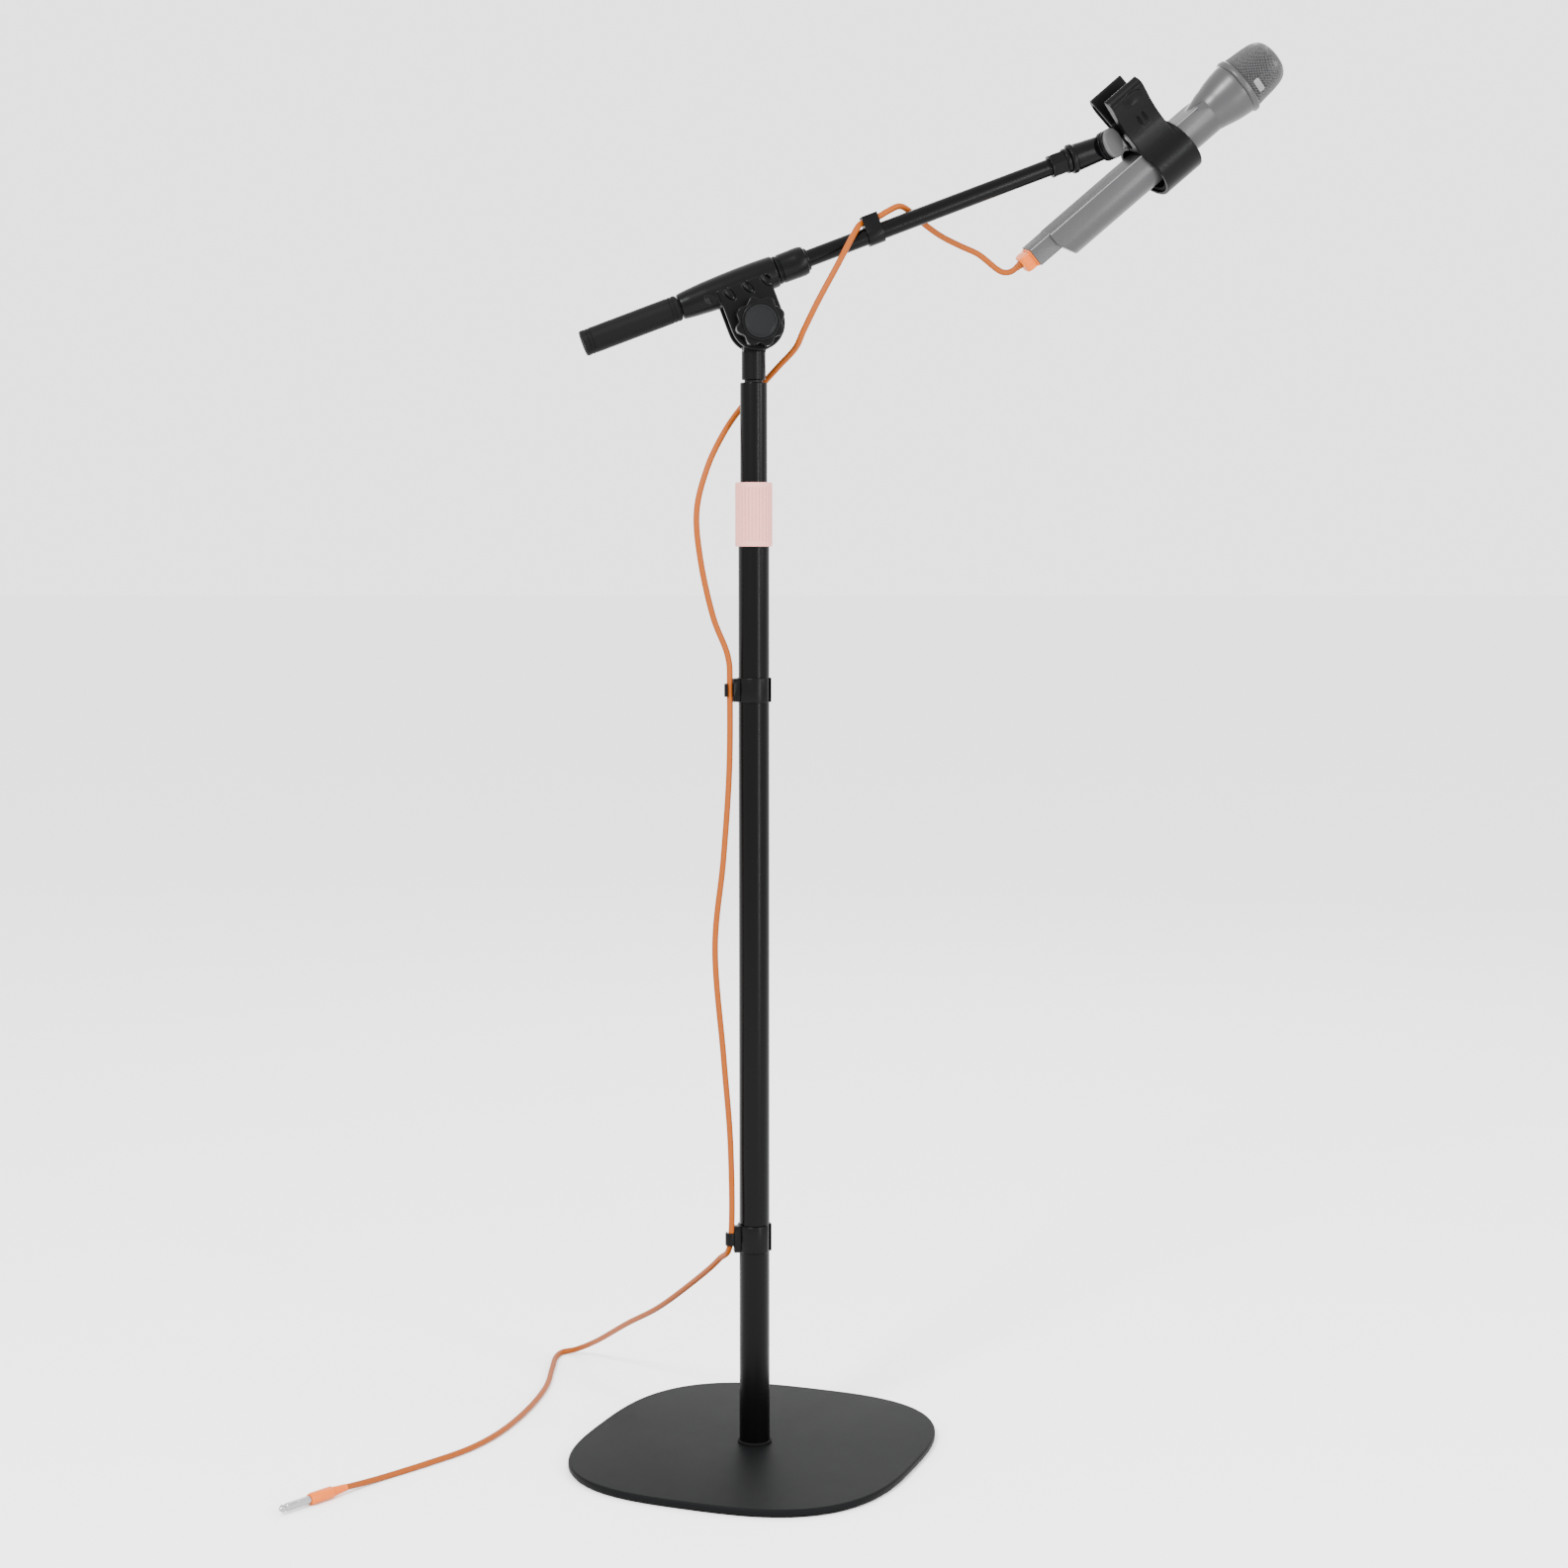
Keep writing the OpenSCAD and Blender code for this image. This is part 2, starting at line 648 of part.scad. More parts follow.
module mic_grille() {
    color("darkgray") at_mic(mic_roll) turned_x([
        [110.1, 21.6], [110.1, 23.2], [117, 22.4], [125, 21.8], [132, 20.9], [137, 19.6], [141, 17.2],
        [143.7, 13.6], [145.3, 8], [146, 0], [144.8, 0], [144, 8], [142.4, 13], [139.8, 16.4],
        [136, 18.6], [131, 19.8], [124, 20.7], [116, 21.3]
    ]);
}
module grille_foam() {
    color("dimgray") at_mic(mic_roll) turned_x([
        [112, 18.6], [112, 20.8], [124, 20.3], [131, 19.4], [136, 18.2], [139.6, 15.8], [142, 12.6],
        [143.6, 7.8], [144.4, 0], [141.6, 0], [141, 7], [139.6, 11.4], [137, 14.2], [133, 16.4], [124, 18.2]
    ]);
}
module capsule() {
    color("silver") at_mic(mic_roll) {
        rod_x(13, 96, 116);
        rod_x(8, 82, 96.5);
    }
}
module capsule_mount() {
    color("black") at_mic(mic_roll) turned_x([[94, 13.1], [94, 20.1], [97, 20.6], [97, 17], [102, 15], [102, 13.1]]);
}
module mic_badge() {
    color("silver") at_mic(mic_roll) rotate([14, 0, 0]) translate([116, -23.3, 0]) rotate([0, 0, -4])
        translate([-2.7, 0, -6]) cube([5.4, 1.2, 12]);
}

// Cord fittings
module cord_connector() {
    color("orange") at_mic(mic_roll) {
        translate([tail_start - 1.6, -12.5, tail_low + 0.5]) cube([1.6, 25, 15]);
        difference() {
            translate([tail_start - connector_l, -11.5, tail_low + 1.2]) cube([connector_l - 1, 23, 13.6]);
            for (side = [-1, 1])
                translate([tail_start - connector_l, side * 11.5, 0]) rotate([0, 0, side * 45])
                    translate([-2.4, -2.4, tail_low]) cube([4.8, 4.8, 18]);
        }
        translate([tail_start, -11.2, tail_low + 3.4]) cube([8, 22.4, flat_h - tail_low - 6.8]);
    }
}
module cord_relief() {
    color("darkorange") at_mic(mic_roll) translate([0, 0, 6.6])
        turned_x([[tail_start - connector_l - 5, 0], [tail_start - connector_l - 5, 2.8],
            [tail_start - connector_l, 3.8], [tail_start - connector_l, 0]]);
}
module plug() {
    translate([plug_start[0], plug_start[1], 0]) rotate([0, 0, plug_turn]) translate([0, 0, plug_rise]) {
        color("darkorange") turned_x([
            [0, 0], [0, 2.9], [14, 4], [14, 4.9], [36, 4.9], [37, 4.2], [37, 0]
        ]);
        color("silver") turned_x([
            [36, 0], [36, 3.15], [60, 3.15], [61, 2.4], [62, 2.4], [63.5, 3.15], [67, 1], [67, 0]
        ]);
    }
}
module cord_1() { cord_run(cord_ends[0], cord_ends[1]); }
module cord_2() { cord_run(cord_ends[1], cord_ends[2]); }
module cord_3() { cord_run(cord_ends[2], cord_ends[3]); }
module cord_4() { cord_run(cord_ends[3], cord_ends[4]); }
module cord_5() { cord_run(cord_ends[4], cord_ends[5]); }
module cord_6() { cord_run(cord_ends[5], cord_ends[6]); }
module cord_7() { cord_run(cord_ends[6], cord_ends[7]); }
module cord_8() { cord_run(cord_ends[7], cord_ends[8]); }
module cord_9() { cord_run(cord_ends[8], cord_ends[9]); }

base_plate();
rubber_mat();
base_bolt();
base_washer();
foot_plug();
foot_collar();
lower_tube();
clutch_ferrule();
clutch_collet();
clutch_grip();
pole_clip_upper();
pole_clip_lower();
upper_tube();
glide_bush();
top_plug();
swivel_washer();
neck();
friction_washers();
boom_holder();
pivot_bolt();
knob();
knob_nut();
knob_cap();
lock_collar();
boom_tube();
rear_grip();
grip_cap();
boom_clip();
tip_insert();
lock_nut();
adapter_sleeve();
thread_insert();
swivel_screw();
swivel_cap();
fixed_jaw();
hinge_pin();
jaw_spring();
fixed_liner();
moving_jaw();
moving_liner();
mic_barrel();
mic_neck();
grille_ring();
mic_grille();
grille_foam();
capsule();
capsule_mount();
mic_badge();
cord_connector();
cord_relief();
cord_1();
cord_2();
cord_3();
cord_4();
cord_5();
cord_6();
cord_7();
cord_8();
cord_9();
plug();
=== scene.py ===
import json
import math

import bpy
from mathutils import Matrix, Vector


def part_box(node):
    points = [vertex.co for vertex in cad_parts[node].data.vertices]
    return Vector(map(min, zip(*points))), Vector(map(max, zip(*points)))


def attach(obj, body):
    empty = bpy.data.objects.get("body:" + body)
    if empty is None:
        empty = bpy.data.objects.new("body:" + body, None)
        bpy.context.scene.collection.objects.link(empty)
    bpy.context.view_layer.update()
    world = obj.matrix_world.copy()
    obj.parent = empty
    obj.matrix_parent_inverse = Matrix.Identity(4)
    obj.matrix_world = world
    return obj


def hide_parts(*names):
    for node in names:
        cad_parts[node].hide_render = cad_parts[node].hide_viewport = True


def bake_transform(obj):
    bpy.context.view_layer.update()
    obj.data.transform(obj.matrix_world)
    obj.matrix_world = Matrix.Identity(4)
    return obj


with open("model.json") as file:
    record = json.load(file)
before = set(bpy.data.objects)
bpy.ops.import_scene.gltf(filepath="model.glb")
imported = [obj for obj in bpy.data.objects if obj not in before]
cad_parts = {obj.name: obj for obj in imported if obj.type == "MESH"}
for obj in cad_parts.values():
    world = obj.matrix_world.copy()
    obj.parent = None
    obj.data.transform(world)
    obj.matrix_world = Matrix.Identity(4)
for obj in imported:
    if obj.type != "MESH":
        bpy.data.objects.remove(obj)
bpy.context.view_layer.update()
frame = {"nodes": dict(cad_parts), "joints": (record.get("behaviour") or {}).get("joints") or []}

# ---------------- frames
# Each group of pieces is drawn in millimetres in its own frame, worked out from the joints.
MM = 0.001
joints = {j["name"]: j for j in frame["joints"]}


def joint_axis(name):
    return Vector(joints[name]["axis"]).normalized()


def joint_place(name):
    return Vector(joints[name]["pos_m"]) / MM


def moved(x, y, z):
    return Matrix.Translation((x, y, z))


def turned(degrees, axis):
    return Matrix.Rotation(math.radians(degrees), 4, axis)


def heights(node):
    """The lowest and highest Z of a CAD node, in millimetres."""
    low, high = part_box(node)
    return (low / MM).z, (high / MM).z


boom_axis = joint_axis("boom_slide")
boom_tilt = math.degrees(math.atan2(boom_axis.z, boom_axis.x))
pivot = joint_place("boom_tilt")
COLLAR_JOINT_ALONG = 40
boom_start = joint_place("collar_turn") - COLLAR_JOINT_ALONG * boom_axis
boom_rise = (boom_start - pivot).length
swivel_axis = joint_axis("clip_swivel")
SWIVEL_JOINT_ALONG = 3
swivel_along = (joint_place("clip_swivel") - SWIVEL_JOINT_ALONG * swivel_axis - boom_start).dot(boom_axis)
swivel_angle = math.degrees(math.acos(swivel_axis.dot(boom_axis)))
mic_axis = joint_axis("mic_slide")
mic_turn = turned(math.degrees(math.atan2(mic_axis.y, mic_axis.x)), "Z") @ turned(
    -math.degrees(math.asin(mic_axis.z)), "Y"
)
CLIP_ROLL = 30
MIC_ROLL = 14
HINGE_U, HINGE_V = 30, 31
clip_turn = mic_turn @ turned(CLIP_ROLL, "X")
mic_start = joint_place("jaw_pinch") - clip_turn @ Vector((HINGE_U, 0, HINGE_V))

POLE = Matrix.Scale(MM, 4)
UPRIGHT = POLE @ turned(-90, "Y")
PIVOT = POLE @ moved(*pivot) @ turned(-boom_tilt, "Y")
ACROSS = PIVOT @ turned(90, "X")
BOOM = PIVOT @ moved(0, 0, boom_rise)
SWIVEL = BOOM @ moved(swivel_along, 0, 0) @ turned(-swivel_angle, "Z")
CLIP = POLE @ moved(*mic_start) @ clip_turn
MIC = POLE @ moved(*mic_start) @ mic_turn @ turned(MIC_ROLL, "X")

# ---------------- driving sizes
# In millimetres and degrees. ALONG is a distance from the start of the group's own frame.
BASE_HALF_W, BASE_HALF_D, BASE_POWER, BASE_TURN = 142, 153, 2.9, -28
MAT_T, PLATE_TOP = 2, 7
LOWER_R, UPPER_R, BOOM_R = 12.7, 11.1, 7
CLUTCH_Z, CLUTCH_H, CLUTCH_R, CLUTCH_RIBS = 757, 52, 15.2, 30
HOLDER_BACK, HOLDER_FRONT = -53, 30
CORD_D = 5
JAW_DROP, JAW_IN, JAW_OUT = 3, 23, 26
CLIP_MID, CLIP_W, JAW_SKEW = 21.9, 35.6, 12
HANDLE_MID, HANDLE_W, HANDLE_SKEW = 21.2, 32, 5
HANDLE_START = HANDLE_MID - HANDLE_W / 2
LINER_IN = JAW_IN - 3.35
ROUTE_AT_POLE = Vector((-20.4, -4))
NECK_TOP = 918.7
KNOB_ALONG, KNOB_CAP_ALONG = 15, 32.1
BOOM_REAR, BOOM_TIP, BOOM_CLIP_ALONG, ADAPTER_ALONG = -137, 271, 110, 290
TAIL_START, BARREL_START = -112, -92
TAIL_LOW, FLAT_TOP = -2.8, 13.2
PLUG_HEADING = 221


# ---------------- camera, floor and light
def look(location, forward, lens):
    """A camera at location that looks along forward with the horizon level."""
    data = bpy.data.cameras.new("camera")
    camera = bpy.data.objects.new("camera", data)
    bpy.context.scene.collection.objects.link(camera)
    camera.location = location
    camera.rotation_mode = "QUATERNION"
    camera.rotation_quaternion = Vector(forward).to_track_quat("-Z", "Y")
    data.lens = lens
    data.sensor_width = 36
    data.clip_start = 0.05
    data.clip_end = 40
    bpy.context.scene.camera = camera


look((-0.26766, -2.17991, 0.75899), (0.13248, 0.98717, -0.08917), 61.52)


def area_light(name, location, target, size, power, height=None):
    """A soft light that is size wide and as high, or height high, and faces target."""
    data = bpy.data.lights.new(name, "AREA")
    data.shape = "RECTANGLE"
    data.size = size
    data.size_y = height or size
    data.energy = power
    lamp = bpy.data.objects.new(name, data)
    bpy.context.scene.collection.objects.link(lamp)
    lamp.location = location
    lamp.rotation_mode = "QUATERNION"
    lamp.rotation_quaternion = (Vector(target) - Vector(location)).to_track_quat("-Z", "Y")


def studio():
    """A pale floor, a white surround and four soft lights."""
    mesh = bpy.data.meshes.new("floor")
    far = 60
    corners = [(-far, -far, 0), (far, -far, 0), (far, far, 0), (-far, far, 0)]
    mesh.from_pydata(corners, [], [(0, 1, 2, 3)])
    floor = bpy.data.objects.new("floor", mesh)
    bpy.context.scene.collection.objects.link(floor)
    paint = bpy.data.materials.new("floor_paper")
    paint.use_nodes = True
    shader = paint.node_tree.nodes["Principled BSDF"]
    shader.inputs["Base Color"].default_value = (0.93, 0.93, 0.93, 1)
    shader.inputs["Roughness"].default_value = 0.9
    shader.inputs["Specular IOR Level"].default_value = 0.1
    mesh.materials.append(paint)
    world = bpy.data.worlds.new("studio")
    world.use_nodes = True
    back = world.node_tree.nodes["Background"]
    back.inputs["Color"].default_value = (1, 1, 1, 1)
    back.inputs["Strength"].default_value = 2.7
    bpy.context.scene.world = world
    area_light("key", (-1.5, -1.9, 2.4), (0, 0, 0.9), 0.6, 160)
    area_light("fill", (2.4, -1.5, 1.6), (0, 0, 0.9), 0.7, 40)
    area_light("back", (0.8, 2.2, 2.2), (0, 0, 0.8), 1.2, 30)
    area_light("strip", (1.2, -1.9, 0.9), (0, 0, 0.6), 0.16, 40, height=1.7)


studio()


# ---------------- materials
made_materials = {}


def material(name, colour, rough, metal=0.0, grain=(0, 0), vary=0.0, ior=1.5):
    """A finish with a fine bump and a wandering gloss and shade.

    grain is (scale per metre, bump depth in mm), and vary is how far the gloss and shade wander.
    """
    if name in made_materials:
        return made_materials[name]
    made = bpy.data.materials.new(name)
    made.use_nodes = True
    nodes, links = made.node_tree.nodes, made.node_tree.links
    shader = nodes["Principled BSDF"]
    sockets = {"Base Color": (*colour, 1), "Roughness": rough, "Metallic": metal, "IOR": ior}
    for socket, value in sockets.items():
        shader.inputs[socket].default_value = value
    place = nodes.new("ShaderNodeTexCoord")
    if grain[0]:
        noise = nodes.new("ShaderNodeTexNoise")
        noise.inputs["Scale"].default_value = grain[0]
        noise.inputs["Detail"].default_value = 3
        links.new(place.outputs["Object"], noise.inputs["Vector"])
        bump = nodes.new("ShaderNodeBump")
        bump.inputs["Strength"].default_value = 0.5
        bump.inputs["Distance"].default_value = grain[1] * MM
        links.new(noise.outputs["Fac"], bump.inputs["Height"])
        links.new(bump.outputs["Normal"], shader.inputs["Normal"])
    if vary:
        cloud = nodes.new("ShaderNodeTexNoise")
        cloud.inputs["Scale"].default_value = 60
        cloud.inputs["Detail"].default_value = 5
        links.new(place.outputs["Object"], cloud.inputs["Vector"])
        tint = nodes.new("ShaderNodeMapRange")
        tint.inputs["To Min"].default_value = rough - vary
        tint.inputs["To Max"].default_value = rough + vary
        links.new(cloud.outputs["Fac"], tint.inputs["Value"])
        links.new(tint.outputs["Result"], shader.inputs["Roughness"])
        shade = nodes.new("ShaderNodeMixRGB")
        shade.inputs["Color1"].default_value = (*[c * (1 - 0.6 * vary) for c in colour], 1)
        shade.inputs["Color2"].default_value = (*[min(1, c * (1 + 0.6 * vary)) for c in colour], 1)
        links.new(cloud.outputs["Fac"], shade.inputs["Fac"])
        links.new(shade.outputs["Color"], shader.inputs["Base Color"])
    made_materials[name] = made
    return made


# The finish that each material slot of the record has.
FINISHES = {
    "base_paint": dict(colour=(0.0038, 0.004, 0.0042), rough=0.5, grain=(2600, 0.06), vary=0.02, ior=1.1),
    "tube_paint": dict(colour=(0.0012, 0.0012, 0.0013), rough=0.26,
                       grain=(1800, 0.02), vary=0.03, ior=1.16),
    "rubber": dict(colour=(0.0014, 0.0014, 0.0015), rough=0.72, grain=(2200, 0.1), vary=0.05, ior=1.16),
    "grip_rubber": dict(colour=(0.0016, 0.0016, 0.0017), rough=0.55,
                        grain=(2600, 0.1), vary=0.05, ior=1.16),
    "steel": dict(colour=(0.16, 0.16, 0.165), rough=0.34, metal=1.0, grain=(1400, 0.03), vary=0.08),
    "steel_light": dict(colour=(0.3, 0.3, 0.31), rough=0.28, metal=1.0, grain=(1400, 0.03), vary=0.06),
    "black_plastic": dict(colour=(0.0012, 0.0012, 0.0014), rough=0.3,
                          grain=(3000, 0.03), vary=0.02, ior=1.17),
    "nylon": dict(colour=(0.3, 0.295, 0.27), rough=0.5, grain=(2400, 0.05), vary=0.05),
    "nylon_black": dict(colour=(0.0034, 0.0038, 0.0041), rough=0.4, grain=(2800, 0.04), vary=0.03, ior=1.2),
    "friction": dict(colour=(0.04, 0.035, 0.03), rough=0.8, grain=(3000, 0.15), vary=0.1, ior=1.3),
    "pink_grip": dict(colour=(0.52, 0.235, 0.205), rough=0.58, grain=(2600, 0.03), vary=0.03, ior=1.3),
    "brass": dict(colour=(0.36, 0.22, 0.08), rough=0.35, metal=1.0, grain=(1500, 0.03), vary=0.08),
    "grey_plastic": dict(colour=(0.045, 0.045, 0.046), rough=0.42, grain=(3200, 0.03), vary=0.04, ior=1.3),
    "mic_metal": dict(colour=(0.036, 0.036, 0.0372), rough=0.33, metal=0.3,
                      grain=(2400, 0.012), vary=0.04, ior=1.35),
    "mic_top": dict(colour=(0.016, 0.016, 0.0165), rough=0.45, grain=(2400, 0.01), vary=0.03, ior=1.15),
    "grille": dict(colour=(0.085, 0.085, 0.087), rough=0.42, metal=0.3,
                   grain=(2600, 0.02), vary=0.04, ior=1.4),
    "foam": dict(colour=(0.006, 0.006, 0.0064), rough=0.95, grain=(1600, 0.5), vary=0.04, ior=1.1),
    "badge": dict(colour=(0.11, 0.11, 0.11), rough=0.34, metal=0.2, grain=(2600, 0.02), vary=0.04),
    "orange_plastic": dict(colour=(0.5, 0.095, 0.0004), rough=0.42, grain=(2600, 0.03), vary=0.04, ior=1.3),
    "orange_cord": dict(colour=(0.2, 0.042, 0.0004), rough=0.52, grain=(1900, 0.06), vary=0.04, ior=1.25),
}


def finish_of(slot):
    return material(slot, **FINISHES[slot])


# ---------------- mesh tools
def arc_points(r, start, end, count):
    """Points on an arc in degrees. A whole turn isn't closed with a second copy of its start."""
    whole = abs(end - start) >= 360
    steps = count if whole else count - 1
    return [
        (r * math.cos(math.radians(start + (end - start) * k / steps)),
         r * math.sin(math.radians(start + (end - start) * k / steps)))
        for k in range(count)
    ]


def circle(r, count, middle=None):
    """A whole turn of points round a middle."""
    points = arc_points(r, 0, 360, count)
    return points if middle is None else [Vector(p) + middle for p in points]


def mesh_object(name, points, faces):
    mesh = bpy.data.meshes.new(name)
    mesh.from_pydata([tuple(p) for p in points], [], faces)
    made = bpy.data.objects.new(name, mesh)
    bpy.context.scene.collection.objects.link(made)
    return made


def add_ring(points, rings, fresh):
    """Adds a ring of fresh points and keeps their numbers."""
    rings.append(list(range(len(points), len(points) + len(fresh))))
    points += fresh


def round_ring(along, r, sides):
    """A ring of points about the X axis."""
    return [(along, r * math.cos(math.tau * k / sides), r * math.sin(math.tau * k / sides))
            for k in range(sides)]


def joined_rings(rings, closed=False):
    """Faces between rings of point numbers. A ring of one point is the tip of a fan."""
    faces = []
    pairs = list(zip(rings, rings[1:]))
    if closed:
        pairs.append((rings[-1], rings[0]))
    for low, high in pairs:
        count = max(len(low), len(high))
        for k in range(count):
            after = (k + 1) % count
            if len(low) == 1:
                faces.append((low[0], high[after], high[k]))
            elif len(high) == 1:
                faces.append((low[k], low[after], high[0]))
            else:
                faces.append((low[k], low[after], high[after], high[k]))
    return faces


def rounded(points, radius, steps=4, closed=False):
    """The same line with each corner turned into a short arc."""
    made = []
    last = len(points) - 1
    for i, p in enumerate(points):
        corner = Vector(p)
        if not closed and i in (0, last):
            made.append(corner)
            continue
        before = Vector(points[i - 1]) - corner
        after = Vector(points[(i + 1) % len(points)]) - corner
        cut = min(radius, before.length * 0.45, after.length * 0.45)
        start = corner + before.normalized() * cut
        end = corner + after.normalized() * cut
        for s in range(steps + 1):
            t = s / steps
            made.append(start * (1 - t) ** 2 + corner * 2 * t * (1 - t) + end * t * t)
    return made


def lathe(name, profile, sides=96, closed=False, soften=0.0):
    """Turns (along, radius) points about the X axis."""
    if soften:
        profile = rounded(profile, soften, closed=closed)
    points, rings = [], []
    for along, r in profile:
        if r < 1e-6:
            add_ring(points, rings, [(along, 0, 0)])
            continue
        add_ring(points, rings, round_ring(along, r, sides))
    return mesh_object(name, points, joined_rings(rings, closed))


def tube_piece(name, start, end, outer, inner, soften=0.5, sides=96):
    """A round tube along X with softened ends."""
    profile = [(start, inner), (start, outer), (end, outer), (end, inner)]
    return lathe(name, profile, sides, closed=True, soften=soften)


def rod(name, r, start, end, sides=48):
    return lathe(name, [(start, 0), (start, r), (end, r), (end, 0)], sides)


def prism(name, outline, low, high, edge=0.0, steps=3):
    """An outline in XY raised along Z from low to high, with rounded edges."""
    outline = [Vector(p) for p in outline]
    count = len(outline)
    area = sum(outline[i - 1].cross(outline[i]) for i in range(count))
    if area < 0:
        outline.reverse()
    inward = []
    for i in range(count):
        along = (outline[(i + 1) % count] - outline[i - 1]).normalized()
        inward.append(Vector((-along.y, along.x)))
    levels = [(low, 0), (high, 0)]
    if edge:
        turns = [math.pi / 2 * s / steps for s in range(steps + 1)]
        arc = [(edge * (1 - math.cos(a)), edge * (1 - math.sin(a))) for a in turns]
        levels = [(low + z, inset) for z, inset in arc]
        levels += [(high - z, inset) for z, inset in reversed(arc)]
    points, rings = [], []
    for z, inset in levels:
        fresh = [(p.x + n.x * inset, p.y + n.y * inset, z) for p, n in zip(outline, inward)]
        add_ring(points, rings, fresh)
    faces = joined_rings(rings)
    faces.append(tuple(reversed(rings[0])))
    faces.append(tuple(rings[-1]))
    return mesh_object(name, points, faces)


def box(name, low, high):
    """A plain block, for joins and cuts."""
    outline = [(low[0], low[1]), (high[0], low[1]), (high[0], high[1]), (low[0], high[1])]
    return prism(name, outline, low[2], high[2])


def shift(made, matrix):
    """Moves the mesh itself, not its object."""
    made.data.transform(matrix)
    return made


def settle(made):
    """Applies the piece's modifiers."""
    bpy.context.view_layer.update()
    graph = bpy.context.evaluated_depsgraph_get()
    mesh = bpy.data.meshes.new_from_object(made.evaluated_get(graph))
    old = made.data
    made.modifiers.clear()
    made.data = mesh
    bpy.data.meshes.remove(old)
    return made


def combine(base, other, operation):
    """Joins other to base or cuts it away, and removes other."""
    cutter = base.modifiers.new("combine", "BOOLEAN")
    cutter.operation = operation
    cutter.object = other
    cutter.solver = "MANIFOLD"
    settle(base)
    bpy.data.objects.remove(other)
    return base


def moulded(name, solids, cuts=(), voxel=0.6, passes=5):
    """Joins closed solids, cuts others away and softens every edge, as a mould does."""
    base = solids[0]
    base.name = name
    for solid in solids[1:]:
        combine(base, solid, "UNION")
    for cut in cuts:
        combine(base, cut, "DIFFERENCE")
    if voxel:
        skin = base.modifiers.new("skin", "REMESH")
        skin.mode = "VOXEL"
        skin.voxel_size = voxel
        soft = base.modifiers.new("soft", "SMOOTH")
        soft.factor = 0.5
        soft.iterations = passes
        settle(base)
    return base


def ellipsoid(name, middle, radii):
    steps = 24
    turns = [math.pi * k / steps for k in range(steps + 1)]
    profile = [(-math.cos(a), math.sin(a)) for a in turns]
    profile[0], profile[-1] = (-1, 0), (1, 0)
    made = lathe(name, profile, 48)
    shift(made, Matrix.Diagonal((*radii, 1)))
    return shift(made, moved(*middle))


def bevelled(made, width, segments=3, angle=35):
    """Rounds the edges that are sharper than angle."""
    edge = made.modifiers.new("edge", "BEVEL")
    edge.width = width
    edge.segments = segments
    edge.limit_method = "ANGLE"
    edge.angle_limit = math.radians(angle)
    edge.use_clamp_overlap = True
    return settle(made)


def piece(made, place, body, nodes, slot, name=None, sharp=38):
    """Puts a finished piece in its place on its body, with its finish."""
    made.data.transform(place)
    if place.determinant() < 0:
        made.data.flip_normals()
    made.data.materials.clear()
    made.data.materials.append(finish_of(slot))
    made.data.polygons.foreach_set("use_smooth", [True] * len(made.data.polygons))
    made.data.set_sharp_from_angle(angle=math.radians(sharp))
    if name:
        made.name = name
    if body:
        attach(made, body)
    if nodes:
        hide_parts(*nodes)
    return made


# ---------------- cord
# From the connector, over the clips and down the pole, to the plug on the floor.
ROUTE = [
    (223.5, 30, 987.4), (219.2, 30.6, 984.4), (213.5, 31.2, 983.8), (207, 31.6, 986.8), (192, 30.6, 998),
    (176, 28, 1004.5), (160, 23, 1011), (145, 15.5, 1019), (129, 8, 1030), (120, 3, 1033),
    (110, -1, 1028.5), (101, -3, 1023.2), (88.4, -3, 1018.3), (82, -8, 1011), (66, -18, 983),
    (50, -19, 954), (39, -15, 931), (33, -9, 917), (21, 4, 903), (8, 16, 888),
    (-9, 18, 869), (-24, 11, 848), (-38, 3, 820), (-47, -2, 785), (-44, -4, 745),
    (-34, -4, 700), (-22, -4, 668), (-20.4, -4, 640), (-21, -4, 573), (-26, -4, 500),
    (-33, -4, 426), (-26, -4, 335), (-20.4, -4, 260), (-20.4, -4, 182), (-28, 22, 158),
    (-46, 68, 126), (-70, 125, 89), (-93, 185, 58), (-112, 240, 29), (-123, 270, 14),
    (-135, 287, 4.5), (-147, 287, 2.6), (-154, 270, 2.6), (-159, 236, 2.6), (-167, 184, 2.6),
    (-185, 125, 2.6), (-210, 68, 2.6), (-238, 27, 2.6), (-273, -5, 2.6), (-312, -36, 2.6),
    (-338, -60, 5),
]
# The route points where one stretch ends and the next begins, and the bodies at both ends of each.
CORD_ENDS = [0, 4, 6, 8, 13, 14, 15, 18, 27, 50]
CORD_BODIES = [
    ("microphone", "clip"), ("clip", "adapter"), ("adapter", "boom"), ("boom", "boom"), ("boom", "holder"),
    ("holder", "neck"), ("neck", "column"), ("column", "stand"), ("stand", "stand"),
]


def spline(i, t):
    """A point on the smooth curve through the route, between points i and i + 1."""
    last = len(ROUTE) - 1
    a, b, c, d = [Vector(ROUTE[max(0, min(last, i + k))]) for k in (-1, 0, 1, 2)]
    square = 2 * a - 5 * b + 4 * c - d
    cube = 3 * b - a - 3 * c + d
    return 0.5 * (2 * b + (c - a) * t + square * t * t + cube * t ** 3)


def cord_line(first, last, step=2.5):
    """Points about step apart on the curve, from one route point to another."""
    line = []
    for i in range(first, last):
        length = (Vector(ROUTE[i + 1]) - Vector(ROUTE[i])).length
        count = max(2, round(length / step))
        line += [spline(i, k / count) for k in range(count)]
    line.append(Vector(ROUTE[last]))
    return line


